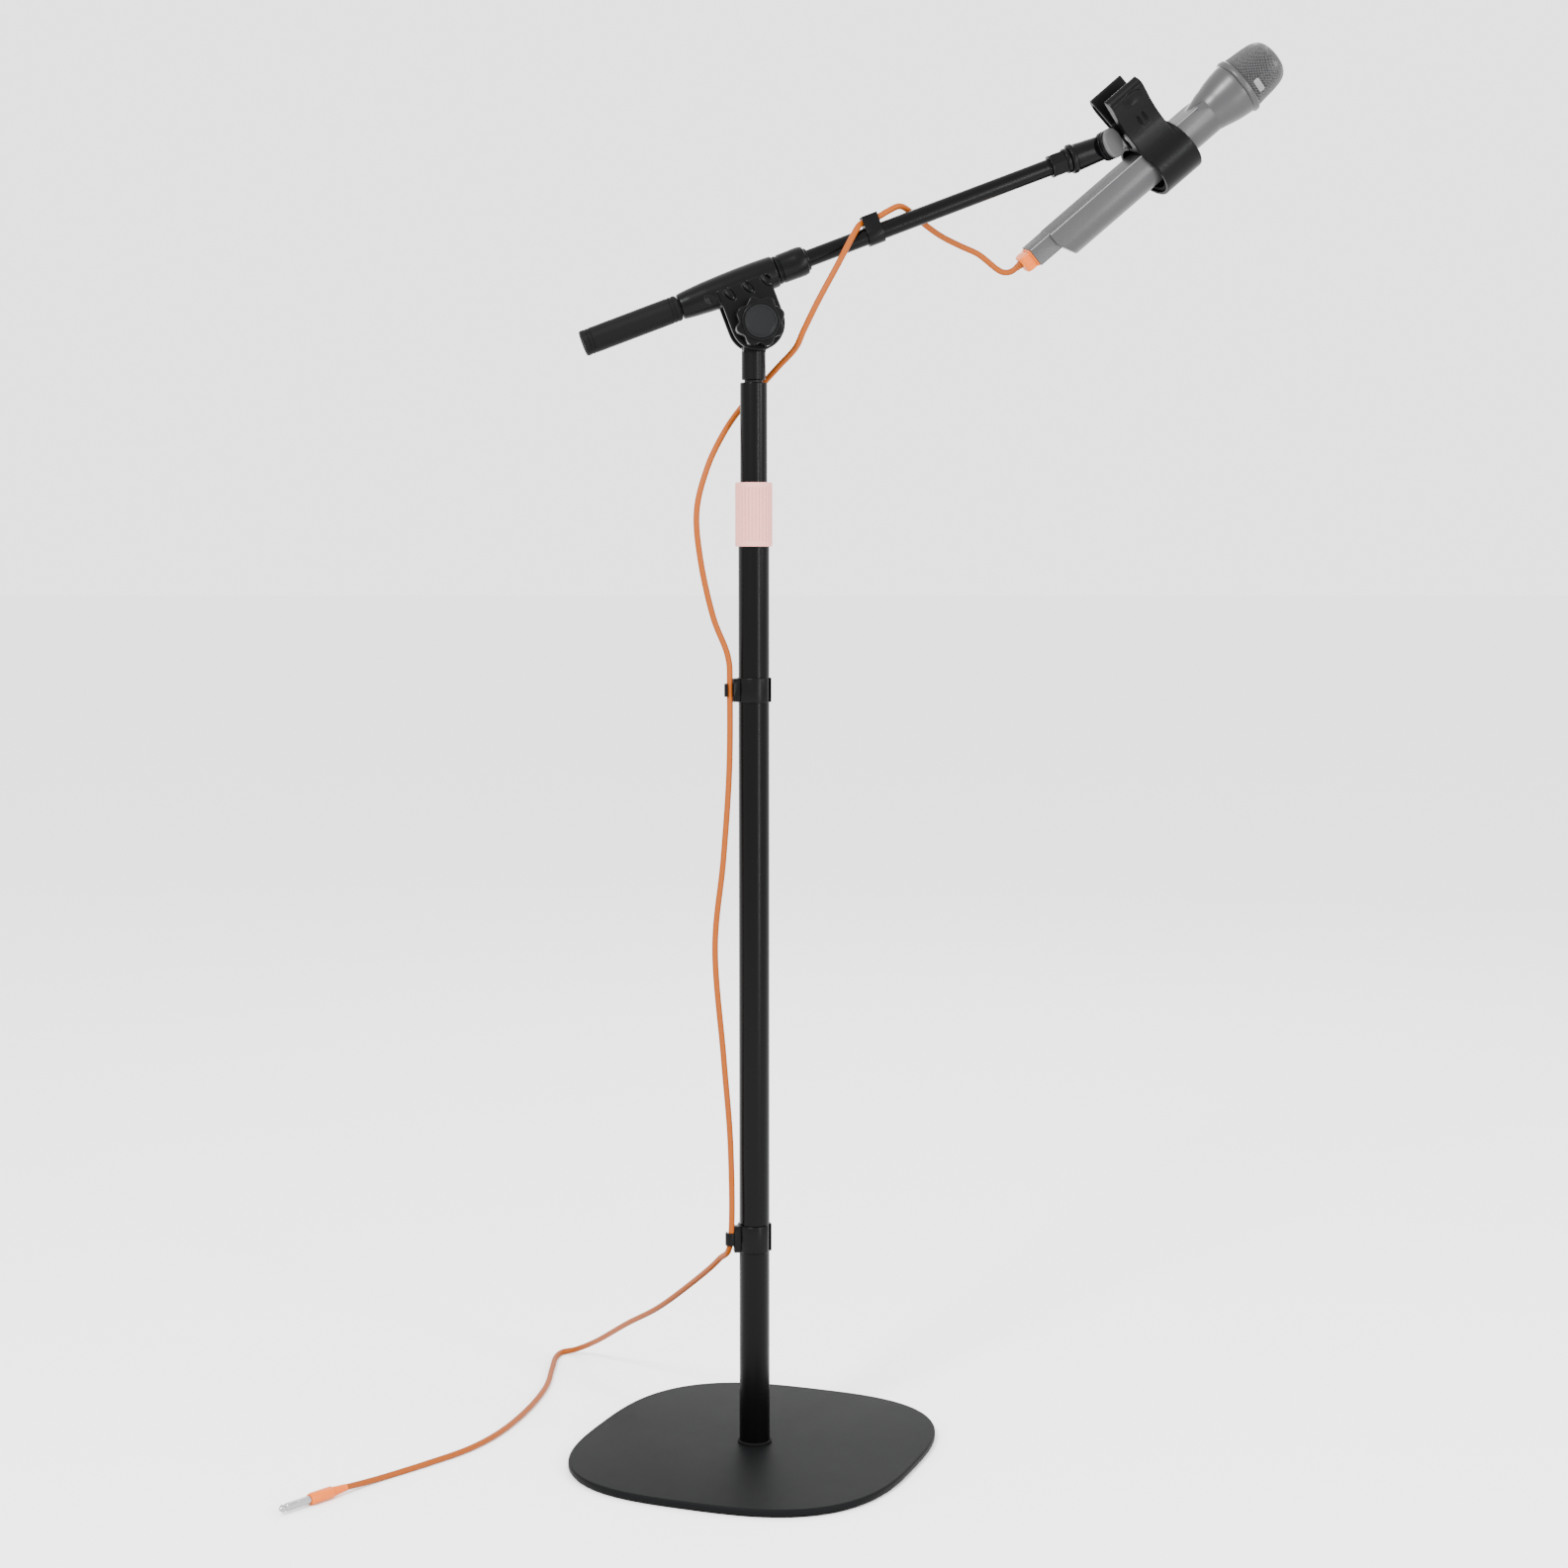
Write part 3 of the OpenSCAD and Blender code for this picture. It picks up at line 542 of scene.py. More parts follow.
def swept(name, line, before, after, radius, sides=16):
    """A tube of round rings along a line. before and after give the direction at its ends."""
    points, rings = [], []
    side = Vector((0, 1, 0))
    for i, p in enumerate(line):
        back = line[i - 1] if i else before
        ahead = line[i + 1] if i < len(line) - 1 else after
        along = (ahead - back).normalized()
        side = (side - side.dot(along) * along).normalized()
        up = along.cross(side)
        turns = [math.tau * k / sides for k in range(sides)]
        add_ring(points, rings, [p + radius * (math.cos(a) * side + math.sin(a) * up) for a in turns])
    faces = joined_rings(rings)
    faces.append(tuple(reversed(rings[0])))
    faces.append(tuple(rings[-1]))
    return mesh_object(name, points, faces)


def cord_stretches():
    """The nine stretches, one for each moving body that the cord passes."""
    whole = cord_line(0, len(ROUTE) - 1)
    made = []
    for n, (near, far) in enumerate(CORD_BODIES):
        first, last = CORD_ENDS[n], CORD_ENDS[n + 1]
        line = cord_line(first, last)
        start = whole.index(line[0])
        before = whole[max(0, start - 1)]
        after = whole[min(len(whole) - 1, start + len(line))]
        tube = swept(f"cord_run_{n + 1}", line, before, after, CORD_D / 2)
        blended = near != far
        piece(tube, POLE, None if blended else near, [f"cord_{n + 1}"], "orange_cord", sharp=60)
        if blended:
            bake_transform(tube)
        made.append((tube, [tuple(p * MM) for p in line]))
    return made


def plug_pieces():
    """A moulded jack plug with its bend relief, a metal barrel and a tip with a groove."""
    place = POLE @ moved(*ROUTE[-1]) @ turned(PLUG_HEADING, "Z")
    relief = [(0, 0), (0, 2.85)]
    for i in range(5):
        start = 1.5 + 2.6 * i
        r = 2.95 + 0.22 * i
        relief += [(start, r), (start + 1.5, r), (start + 1.8, r - 0.35), (start + 2.3, r - 0.35)]
    relief += [(14.2, 4), (14.6, 4.7), (15.2, 4.88), (34.8, 4.88), (36, 4.5), (36.9, 4.15), (36.9, 0)]
    body = piece(lathe("plug_body", relief, 48), place, "stand", ["plug"], "orange_plastic", sharp=25)
    tip = [(36.5, 0), (36.5, 3.12), (48.6, 3.12), (48.8, 2.95), (49.8, 2.95), (50, 3.12), (59.6, 3.12),
           (60.6, 2.4), (62, 2.4), (63.4, 3.1), (64.2, 2.9), (65.8, 1.7), (66.6, 1), (66.95, 0)]
    metal = piece(lathe("plug_tip", tip, 48), place, "stand", [], "steel_light", sharp=25)
    return [body, metal]


cords = cord_stretches()
plug = plug_pieces()


# ---------------- base
def base_ring(inset, count=192):
    """The base's rounded-square outline."""
    made = []
    for k in range(count):
        c, s = math.cos(math.tau * k / count), math.sin(math.tau * k / count)
        x = (BASE_HALF_W - inset) * math.copysign(abs(c) ** (2 / BASE_POWER), c)
        y = (BASE_HALF_D - inset) * math.copysign(abs(s) ** (2 / BASE_POWER), s)
        made.append(turned(BASE_TURN, "Z") @ Vector((x, y, 0)))
    return made


def base_slab(name, levels, hole):
    """A slab through (inset, z) levels, with a round hole in its middle."""
    count = 192
    points, rings = [], []
    for inset, z in levels:
        add_ring(points, rings, [Vector((p.x, p.y, z)) for p in base_ring(inset, count)])
    turns = [math.tau * k / count for k in range(count)]
    ways = [turned(BASE_TURN, "Z") @ Vector((math.cos(a), math.sin(a), 0)) for a in turns]
    for z in (levels[-1][1], levels[0][1]):
        add_ring(points, rings, [Vector((way.x * hole, way.y * hole, z)) for way in ways])
    return mesh_object(name, points, joined_rings(rings, closed=True))


def base():
    """The steel plate, the rubber mat under it and the collar round the pole's foot."""
    edge = 1.9
    arc = [math.pi / 2 * s / 6 for s in range(7)]
    levels = [(0.5, MAT_T + 0.05), (0.1, MAT_T + 0.5), (0.05, PLATE_TOP - edge - 0.6)]
    levels += [(0.1 + edge * (1 - math.cos(a)), PLATE_TOP - edge + edge * math.sin(a)) for a in arc]
    plate = base_slab("base_cover", levels, 4.4)
    piece(plate, POLE, "stand", ["base_plate"], "base_paint", sharp=50)
    ridge = [(2.4, 0.05), (1.9, 0.35), (1.65, 0.8), (1.65, 1.75), (1.8, MAT_T)]
    mat = base_slab("base_mat", ridge, 9.7)
    piece(mat, POLE, "stand", ["rubber_mat"], "rubber", sharp=50)
    collar = [(0, 12.8), (0, 14.2), (1.9, 14.2), (2.5, 13.9), (2.75, 13.4), (2.75, 12.8)]
    foot = lathe("foot_ring", collar, closed=True, soften=0.3)
    piece(foot, UPRIGHT @ moved(PLATE_TOP, 0, 0), "stand", ["foot_collar"], "rubber")


# ---------------- pole and column
def pole():
    low, high = heights("lower_tube")
    lower = tube_piece("pole_tube", low, high, LOWER_R, LOWER_R - 1.3, 0.4)
    piece(lower, UPRIGHT, "stand", ["lower_tube"], "tube_paint")
    low, high = heights("upper_tube")
    upper = tube_piece("column_tube", low, high, UPPER_R, UPPER_R - 1.2, 0.6)
    piece(upper, UPRIGHT, "column", ["upper_tube"], "tube_paint")
    low, high = heights("swivel_washer")
    washer = tube_piece("swivel_ring", low, high, 7.6, 5.1, 0.3)
    piece(washer, UPRIGHT, "column", ["swivel_washer"], "nylon_black")


def ribbed_grip():
    """The soft twist grip: vertical ribs that fade out under a smooth rim at each end."""
    per_rib, depth = 8, 1.0
    sides = CLUTCH_RIBS * per_rib
    levels = [
        (0.0, -0.7), (0.35, -0.2), (1.0, 0), (3.2, 0), (4.2, 0), (5.0, 0),
        (CLUTCH_H - 5.0, 0), (CLUTCH_H - 4.2, 0), (CLUTCH_H - 3.2, 0), (CLUTCH_H - 1.0, 0),
        (CLUTCH_H - 0.35, -0.25), (CLUTCH_H, -0.9),
    ]
    points, rings = [], []
    turns = [math.tau * k / sides for k in range(sides)]
    for z, grow in levels:
        fade = max(0, min(1, (min(z, CLUTCH_H - z) - 3.4) / 1.4))
        fresh = []
        for a in turns:
            wave = 0.5 + 0.5 * math.cos(CLUTCH_RIBS * a)
            r = CLUTCH_R - 0.02 + grow - depth * fade * wave ** 2
            fresh.append((z, r * math.cos(a), r * math.sin(a)))
        add_ring(points, rings, fresh)
    for z, r in [(CLUTCH_H, 11.8), (CLUTCH_H - 4.6, 11.8), (CLUTCH_H - 4.6, 14.2), (0.0, 14.2)]:
        add_ring(points, rings, round_ring(z, r, sides))
    return mesh_object("twist_grip", points, joined_rings(rings, closed=True))


def clutch():
    place = UPRIGHT @ moved(CLUTCH_Z, 0, 0)
    piece(ribbed_grip(), place, "clutch", ["clutch_grip"], "pink_grip", sharp=42)
    low, _ = heights("clutch_ferrule")
    ferrule = tube_piece("clutch_socket", low, low + 20, 13.85, LOWER_R + 0.1, 0.4)
    combine(ferrule, rod("room", 13.2, low + 11, low + 22, 96), "DIFFERENCE")
    piece(ferrule, UPRIGHT, "stand", ["clutch_ferrule"], "nylon_black")


def pole_clip(name, node, opens):
    """A snap ring with a cable channel on a web, open towards +Y or -Y."""
    low, high = heights(node)
    middle = (low + high) / 2
    ring = prism(name, circle(14.35, 72), low, high, edge=0.8)
    channel = prism("channel", circle(4.65, 48, ROUTE_AT_POLE), middle - 5.4, middle + 5.4, edge=0.6)
    plan = [(-17.8, -7.4), (-12.5, -7.4), (-12.5, -0.6), (-17.8, -0.6)]
    web = prism("web", plan, low + 0.4, high - 0.4, 0.5)
    bore = prism("bore", circle(LOWER_R + 0.1, 72), low - 1, high + 1)
    gap = shift(box("gap", (0, -4, low - 1), (20, 4, high + 1)), turned(-30, "Z"))
    cable = prism("cable", circle(2.85, 48, ROUTE_AT_POLE), low - 1, high + 1)
    near, far = (-4, 4) if opens > 0 else (-12, -4)
    mouth = box("mouth", (-22.5, near, low - 1), (-18.3, far, high + 1))
    clip = moulded(name, [ring, channel, web], [bore, gap, cable, mouth], voxel=0)
    piece(bevelled(clip, 0.35, 2), POLE, "stand", [node], "black_plastic", sharp=30)


# ---------------- neck and boom clamp
def neck():
    """The grooved bearing on the column's top, with the disc that the boom clamp holds."""
    low, top = heights("neck")[0], NECK_TOP
    bearing = [
        (low, 0), (low, 9.4), (low + 0.6, 9.8), (top - 4.6, 9.8), (top - 4.3, 9.25), (top - 3.2, 9.25),
        (top - 2.9, 9.8), (top - 1.2, 9.8), (top, 8.8), (top + 1, 0),
    ]
    stem = shift(lathe("stem", bearing), turned(-90, "Y"))
    across = moved(0, 8, 0) @ turned(90, "X")
    disc = shift(prism("disc", circle(16, 96, Vector((pivot.x, pivot.z))), 0, 16, edge=0.6), across)
    flare = [(-9, top - 5), (9, top - 5), (11, top + 13), (-8, top + 13)]
    root = shift(prism("root", flare, 0, 16, edge=0.6), across)
    hole = shift(rod("hole", 4.1, -20, 20), moved(pivot.x, 0, pivot.z) @ turned(90, "Z"))
    socket = shift(rod("socket", 5.1, low - 1, low + 17), turned(-90, "Y"))
    made = moulded("tilt_neck", [stem, disc, root], [hole, socket], voxel=0)
    piece(made, POLE, "neck", ["neck"], "black_plastic", sharp=30)


def holder():
    """The clamp: a tapered barrel over two cheeks, with finger dents along both sides."""
    profile = [
        (HOLDER_BACK, 0), (HOLDER_BACK, 10.4), (-45, 11.4), (-30, 12.5), (-15, 13.1), (0, 13.4),
        (15, 13.4), (29, 12.9), (HOLDER_FRONT, 12.4), (HOLDER_FRONT, 0),
    ]
    barrel = shift(lathe("barrel", rounded(profile, 1.0), 96), moved(0, 0, boom_rise))
    r = 22
    cheek = arc_points(r, 180, 360, 40) + [(r, boom_rise - 6), (-r, boom_rise - 6)]
    cheeks = [shift(prism("cheek", cheek, y, y + 4.5, edge=0.7), turned(90, "X")) for y in (-14.7, 10.2)]
    block = box("block", (-r, -14.6, boom_rise - 12), (r, 14.6, boom_rise))
    slot = box("slot", (-r - 5, -10.2, -r - 1), (r + 5, 10.2, 16))
    arch = shift(rod("arch", 20, -10.2, 10.2, 96), turned(90, "Z"))
    hole = shift(rod("hole", 4.1, -20, 20), turned(90, "Z"))
    key = shift(rod("key", 7.5, 13.1, 18, 6), turned(90, "Z"))
    bore = shift(rod("bore", BOOM_R + 0.08, HOLDER_BACK - 1, HOLDER_FRONT + 1, 64), moved(0, 0, boom_rise))
    dents = []
    for i, depth in enumerate((14.6, 16.4, 16.6, 16.4)):
        for side in (-1, 1):
            scoop = ellipsoid("scoop", (0, 0, 0), (4.1, 4.2, 8.2))
            place = moved(-30 + 16 * i, side * depth, boom_rise - 3.4)
            dents.append(shift(scoop, place @ turned(-26, "Y") @ turned(side * -14, "X")))
    made = moulded("boom_clamp", [barrel, *cheeks, block], [slot, arch, hole, key, bore, *dents], 0.55, 5)
    piece(made, PIVOT, "holder", ["boom_holder"], "black_plastic", sharp=60)


def star(r, lobe, lobes, count=240):
    """A round outline with lobes that flow into it."""
    made = []
    for k in range(count):
        a = math.tau * k / count
        wave = 0.5 + 0.5 * math.cos(lobes * a)
        out = r + (lobe - r) * wave ** 0.8
        made.append((out * math.cos(a), out * math.sin(a)))
    return made


def knob():
    """The locking knob, with a hexagonal pocket for its nut and a cap over it."""
    outline = star(17.3, 20.4, 8)
    body = prism("knob_body", outline, 2, 16.9, edge=1.3, steps=4)
    rim = lathe("rim", rounded([(1.8, 0), (1.8, 15.5), (18.4, 15.5), (18.9, 14.9), (18.9, 0)], 0.6), 96)
    shift(rim, turned(-90, "Y"))
    hub = shift(lathe("hub", [(0, 0), (0, 10.8), (3, 10.8), (3, 0)], 64), turned(-90, "Y"))
    hole = shift(rod("hole", 4.1, -1, 13), turned(-90, "Y"))
    pocket = shift(rod("pocket", 7.6, 5, 25, 6), turned(-90, "Y"))
    recess = shift(rod("recess", 13.45, 17, 20, 96), turned(-90, "Y"))
    made = moulded("tilt_knob", [body, rim, hub], [hole, pocket, recess], voxel=0)
    bevelled(made, 0.3, 2, 40)
    piece(made, ACROSS @ moved(0, 0, KNOB_ALONG), "knob", ["knob"], "black_plastic", sharp=32)
    profile = [(0.02, 0), (0.02, 13.25), (1.85, 13.25), (1.85, 11.6), (1.15, 11.1), (1.1, 0)]
    cap = lathe("cap", rounded(profile, 0.3), 96)
    place = ACROSS @ moved(0, 0, KNOB_CAP_ALONG) @ turned(-90, "Y")
    piece(cap, place, "knob", ["knob_cap"], "nylon_black", "knob_disc")


def pivot_screw():
    head = lathe("pivot_screw", [(13.2, 0), (13.2, 7), (17.6, 7), (18, 6.4), (18, 0)], 6)
    shank = lathe("shank", [(-27, 0), (-27, 3.6), (-26.4, 3.95), (13.4, 3.95), (13.4, 0)], 32)
    made = moulded("pivot_screw", [head, shank], [], voxel=0)
    piece(bevelled(made, 0.25, 2), PIVOT @ turned(90, "Z"), "holder", ["pivot_bolt"], "steel", sharp=30)


# ---------------- boom
def boom():
    """The boom tube, its rear grip and end cap, and the collar in front of the clamp."""
    rear = BOOM_REAR
    tube = tube_piece("boom_rod", rear + 6, BOOM_TIP, BOOM_R, BOOM_R - 1.2, 0.5)
    piece(tube, BOOM, "boom", ["boom_tube"], "tube_paint")
    grip = [(rear, 8.7), (rear, 9.7), (rear + 0.9, 10.45)]
    for start in (rear + 4, rear + 7, -62, -59):
        grip += [(start, 10.45), (start + 0.3, 10.1), (start + 1.1, 10.1), (start + 1.4, 10.45)]
    grip += [(-55.2, 10.45), (-54.1, 9.6), (-54.1, 7.1), (rear + 5, 7.1), (rear + 5, 8.7)]
    piece(lathe("rear_sleeve", grip, closed=True), BOOM, "boom", ["rear_grip"], "grip_rubber", sharp=34)
    profile = [
        (rear + 0.4, 0), (rear + 0.4, 5), (rear + 0.9, 5.4), (rear + 0.9, 7.6), (rear + 0.5, 8.4),
        (rear + 4.7, 8.4), (rear + 4.7, 0),
    ]
    piece(lathe("rear_cap", rounded(profile, 0.3)), BOOM, "boom", ["grip_cap"], "rubber")
    front = HOLDER_FRONT + 0.5
    collar = [
        (front, 7.4), (front, 11.3), (front + 0.5, 11.75), (front + 2.2, 11.75), (front + 2.8, 11.2),
        (front + 3.6, 11.2), (front + 4.2, 11.9), (46, 12.05), (46.5, 12.15), (52.4, 12.15),
        (55.6, 11.5), (56, 11), (56, 10), (56.4, 9.6), (58, 9.3), (58.45, 8.9), (58.45, 7.4),
    ]
    collar = lathe("clamp_collar", collar, closed=True)
    piece(collar, BOOM, "collar", ["lock_collar"], "black_plastic", sharp=34)


def boom_clip():
    """The snap clip that carries the cord along the boom."""
    x = BOOM_CLIP_ALONG
    sleeve = rod("sleeve", 8.85, x + 0.05, x + 13.45, 96)
    block = box("block", (x + 0.05, -8.15, 3), (x + 13.45, 2.15, 15.75))
    bore = rod("bore", BOOM_R + 0.08, x - 1, x + 15, 64)
    cable = shift(rod("cable", 2.85, x - 1, x + 15, 40), moved(0, -3, 11.2))
    mouth = box("mouth", (x - 1, -5.1, 11.2), (x + 15, -0.9, 19))
    made = moulded("boom_clamp_clip", [sleeve, block], [bore, cable, mouth], voxel=0)
    piece(bevelled(made, 0.45, 3), BOOM, "boom", ["boom_clip"], "black_plastic", sharp=30)


def lock_nut():
    tip = BOOM_TIP
    ring = [(tip + 1.65, 0), (tip + 1.65, 9.2), (tip + 4, 9.2), (tip + 4, 0)]
    ring = lathe("ring", rounded(ring, 0.4), 96)
    hexagon = [(tip + 3, 0), (tip + 3, 9.2), (tip + 4.2, 10.15), (tip + 15.4, 10.15), (tip + 15.8, 0)]
    hexagon = lathe("hexagon", hexagon, 6)
    flange = [(tip + 15, 0), (tip + 15, 10.35), (tip + 18.55, 10.35), (tip + 18.55, 0)]
    flange = lathe("flange", rounded(flange, 0.7), 96)
    bore = rod("bore", 4.8, tip, tip + 20)
    made = moulded("hex_nut", [ring, hexagon, flange], [bore], voxel=0)
    piece(bevelled(made, 0.35, 3, 25), BOOM, "lock_nut", ["lock_nut"], "black_plastic", sharp=26)


# ---------------- adapter
def adapter():
    """The tapered sleeve, cut off obliquely by the swivel's flange, and the swivel's own disc."""
    start = ADAPTER_ALONG
    to_boom = BOOM.inverted() @ SWIVEL
    profile = [
        (start, 0), (start, 11.3), (start + 1, 12.3), (start + 4, 12.3), (start + 5, 11.3),
        (start + 25, 10.15), (start + 52, 10.1), (start + 52, 0),
    ]
    sleeve = lathe("sleeve", rounded(profile, 0.5), 96)
    beyond = shift(box("beyond", (-1, -60, -60), (70, 60, 60)), to_boom)
    combine(sleeve, beyond, "DIFFERENCE")
    flange = lathe("flange", rounded([(-3, 0), (-3, 12.3), (1.15, 12.3), (1.15, 0)], 0.7), 96)
    shift(flange, to_boom)
    socket = rod("socket", 7.2, start - 1, start + 14)
    screw = shift(rod("screw", 3.05, -9.2, 6), to_boom)
    made = moulded("swivel_sleeve", [sleeve, flange], [socket, screw], voxel=0)
    piece(bevelled(made, 0.3, 2), BOOM, "adapter", ["adapter_sleeve"], "black_plastic", sharp=30)
    profile = [(5.12, 0), (5.12, 12.4), (7.0, 12.4), (7.9, 11.4), (7.95, 0)]
    disc = lathe("swivel_disc", rounded(profile, 0.5), 96)
    piece(disc, SWIVEL, "clip", ["swivel_cap"], "grey_plastic")


# ---------------- spring clip
def mic_outline(grow):
    """The microphone's section: round below, with a flat top and two slanting shoulders."""
    r, flat, shoulder = 17.4 + grow, 13.2 + grow, 20.8 + grow
    side = shoulder * math.sqrt(2) - r
    top = shoulder * math.sqrt(2) - flat
    return arc_points(r, 180, 360, 49) + [(r, side), (top, flat), (-top, flat), (-r, side)]


def slab(name, outline, start, end, skew=0.0, middle=0.0, edge=0.0):
    """An outline of (away, up) points raised along the microphone, with its ends slanted."""
    lean = math.tan(math.radians(skew))
    made = prism(name, outline, start, end, edge)
    for v in made.data.vertices:
        away, up, along = v.co
        v.co = (along - away * lean, away, up)
    return made


def pocket():
    """The microphone's space in the clip."""
    outline = [turned(MIC_ROLL - CLIP_ROLL, "Z") @ Vector((x, y, 0)) for x, y in mic_outline(0.45)]
    return slab("pocket", [(p.x, p.y) for p in outline], -40, 80)


def knuckle(starts, length, r):
    """Rods on the hinge's axis, each from so far along the handle."""
    return [shift(rod("knuckle", r, HANDLE_START + s, HANDLE_START + s + length), moved(0, 0, HINGE_V))
            for s in starts]


def jaw_ring(r, count=96):
    """A round outline about the jaws' middle, which is below the microphone's."""
    return [(x, y - JAW_DROP) for x, y in circle(r, count)]


FIXED_OUTLINE = [
    (0.5, 14), (4.4, 24), (6, 38), (19.4, 69), (23, 68), (26.2, 62), (26.8, 56), (22, 43),
    (15.5, 31), (17, 20), (20.5, 12), (4, 8),
]
MOVING_OUTLINE = [
    (-0.5, 14), (-4.4, 24), (-4, 44), (-8.5, 76.6), (-18.9, 71.6), (-15.6, 61), (-13.2, 51),
    (-12.4, 41), (-13.2, 31), (-16.5, 20), (-21, 11), (-4, 8),
]


def jaw_blank(side, outline):
    """Half a ring for the jaw and a waisted handle, as solids and cuts."""
    half = CLIP_W / 2 / math.cos(math.radians(JAW_SKEW))
    shell = slab("shell", jaw_ring(JAW_OUT - 0.05, 120), CLIP_MID - half, CLIP_MID + half, JAW_SKEW)
    other = box("other", (-30, -60 if side > 0 else -0.5, -60), (80, 0.5 if side > 0 else 60, 60))
    combine(shell, other, "DIFFERENCE")
    reach = HANDLE_W / 2 / math.cos(math.radians(HANDLE_SKEW))
    curve = rounded(outline, 5, steps=3, closed=True)
    handle = slab("handle", curve, HANDLE_MID - reach, HANDLE_MID + reach, HANDLE_SKEW)
    inside = slab("inside", jaw_ring(JAW_IN), -40, 80)
    return [shell, handle], [inside, pocket()]


def moving_jaw():
    """The front jaw, with a thumb recess and ridges in its handle and the outer knuckles."""
    solids, cuts = jaw_blank(-1, MOVING_OUTLINE)
    cuts += knuckle([7.3], HANDLE_W - 14.6, 5.1)
    lean = math.tan(math.radians(HANDLE_SKEW))
    cuts.append(ellipsoid("thumb", (24 + 17 * lean, -17.3, 62.5), (10, 3.0, 7.6)))
    for u in (20, 25.5):
        cuts.append(ellipsoid("groove", (u + 1.4, -13.6, 42), (1.2, 2.5, 7)))
    low, ends = HANDLE_START, (1.4, HANDLE_W - 7)
    solids += [box("lug", (low + s, -8, HINGE_V - 3), (low + s + 5.6, 0, HINGE_V + 3)) for s in ends]
    barrels = knuckle(ends, 5.6, 4.6)
    made = moulded("front_jaw", solids, cuts, voxel=0)
    for barrel in barrels:
        combine(made, barrel, "UNION")
    combine(made, knuckle([-4], HANDLE_W + 8, 2.1)[0], "DIFFERENCE")
    made = moulded("front_jaw", [made], [], 0.55, 4)
    piece(made, CLIP, "moving_jaw", ["moving_jaw"], "black_plastic", sharp=60)


def fixed_jaw():
    """The rear jaw, with a recess in each face of its handle and the arm down to the swivel."""
    solids, cuts = jaw_blank(1, FIXED_OUTLINE)
    cuts += knuckle([-8, HANDLE_W - 7.5], 15.5, 5.1)
    inner = [(8.4, 36), (19.6, 63.2), (22, 63.4), (24, 60.6), (24.3, 56.8), (19.6, 44.2), (14, 33.5)]
    low = HANDLE_START
    far = low + HANDLE_W
    for name, start, end in (("recess", low - 6, low + 3.2), ("recess_far", far - 4.6, far + 6)):
        cuts.append(slab(name, rounded(inner, 1.5, 3, True), start, end))
    ends = (7.8, HANDLE_W - 11.3)
    solids += [box("lug", (low + s, 0, HINGE_V - 3), (low + s + 3.5, 8, HINGE_V + 3)) for s in ends]
    made = moulded("rear_jaw", solids, cuts, voxel=0)
    for barrel in knuckle(ends, 3.5, 4.6):
        combine(made, barrel, "UNION")
    combine(made, knuckle([-1], HANDLE_W + 2, 2.05)[0], "DIFFERENCE")
    to_clip = CLIP.inverted() @ SWIVEL
    profile = [(1.55, 0), (1.55, 12.35), (4.75, 12.35), (4.75, 0)]
    eye = shift(lathe("eye", rounded(profile, 0.4), 96), to_clip)
    arm = shift(box("arm", (1.75, 0, -5.9), (4.55, 31, 5.9)), to_clip @ turned(29, "X"))
    screw = shift(rod("screw", 3.1, -4, 9), to_clip)
    combine(made, arm, "UNION")
    combine(made, eye, "UNION")
    combine(made, screw, "DIFFERENCE")
    made = moulded("rear_jaw", [made], [], 0.5, 3)
    piece(made, CLIP, "clip", ["fixed_jaw"], "black_plastic", sharp=60)


def liner(name, node, side, body):
    """A ribbed rubber pad inside one jaw."""
    half = (CLIP_W - 4) / 2 / math.cos(math.radians(JAW_SKEW))
    pad = slab(name, jaw_ring(JAW_IN - 0.1), CLIP_MID - half, CLIP_MID + half, JAW_SKEW)
    inner = slab("inner", jaw_ring(LINER_IN), -40, 80)
    other = box("other", (-30, -60 if side > 0 else -0.55, -60), (80, 0.55 if side > 0 else 60, 60))
    above = box("above", (-30, -60, 1.95), (80, 60, 60))
    below = box("below", (-30, -60, -60), (80, 60, -25.95))
    for cut in (inner, other, above, below, pocket()):
        combine(pad, cut, "DIFFERENCE")
    for k in range(5):
        place = moved(0, side * LINER_IN * math.cos(0.3 * k), -JAW_DROP)
        place = place @ moved(0, 0, -LINER_IN * math.sin(0.3 * k))
        combine(pad, shift(rod("rib", 0.5, -40, 80, 12), place), "DIFFERENCE")
    piece(pad, CLIP, body, [node], "rubber", sharp=30)


def jaw_spring():
    """A wound torsion spring round the hinge pin, with its legs."""
    start, end = HANDLE_START + 11.8, HANDLE_START + 20.1
    r, wire, turns = 3.4, 0.55, 5.25
    line = [Vector((start, 3.6, HINGE_V + 4.2))]
    count = 120
    for k in range(count + 1):
        a = math.tau * turns * k / count
        line.append(Vector((start + (end - start) * k / count, r * math.cos(a), HINGE_V + r * math.sin(a))))
    line.append(line[-1] + Vector((0, 0.5, 0.9)))
    coil = swept("jaw_coil", line, line[0], line[-1], wire, 10)
    piece(coil, CLIP, "clip", ["jaw_spring"], "steel_light", sharp=60)


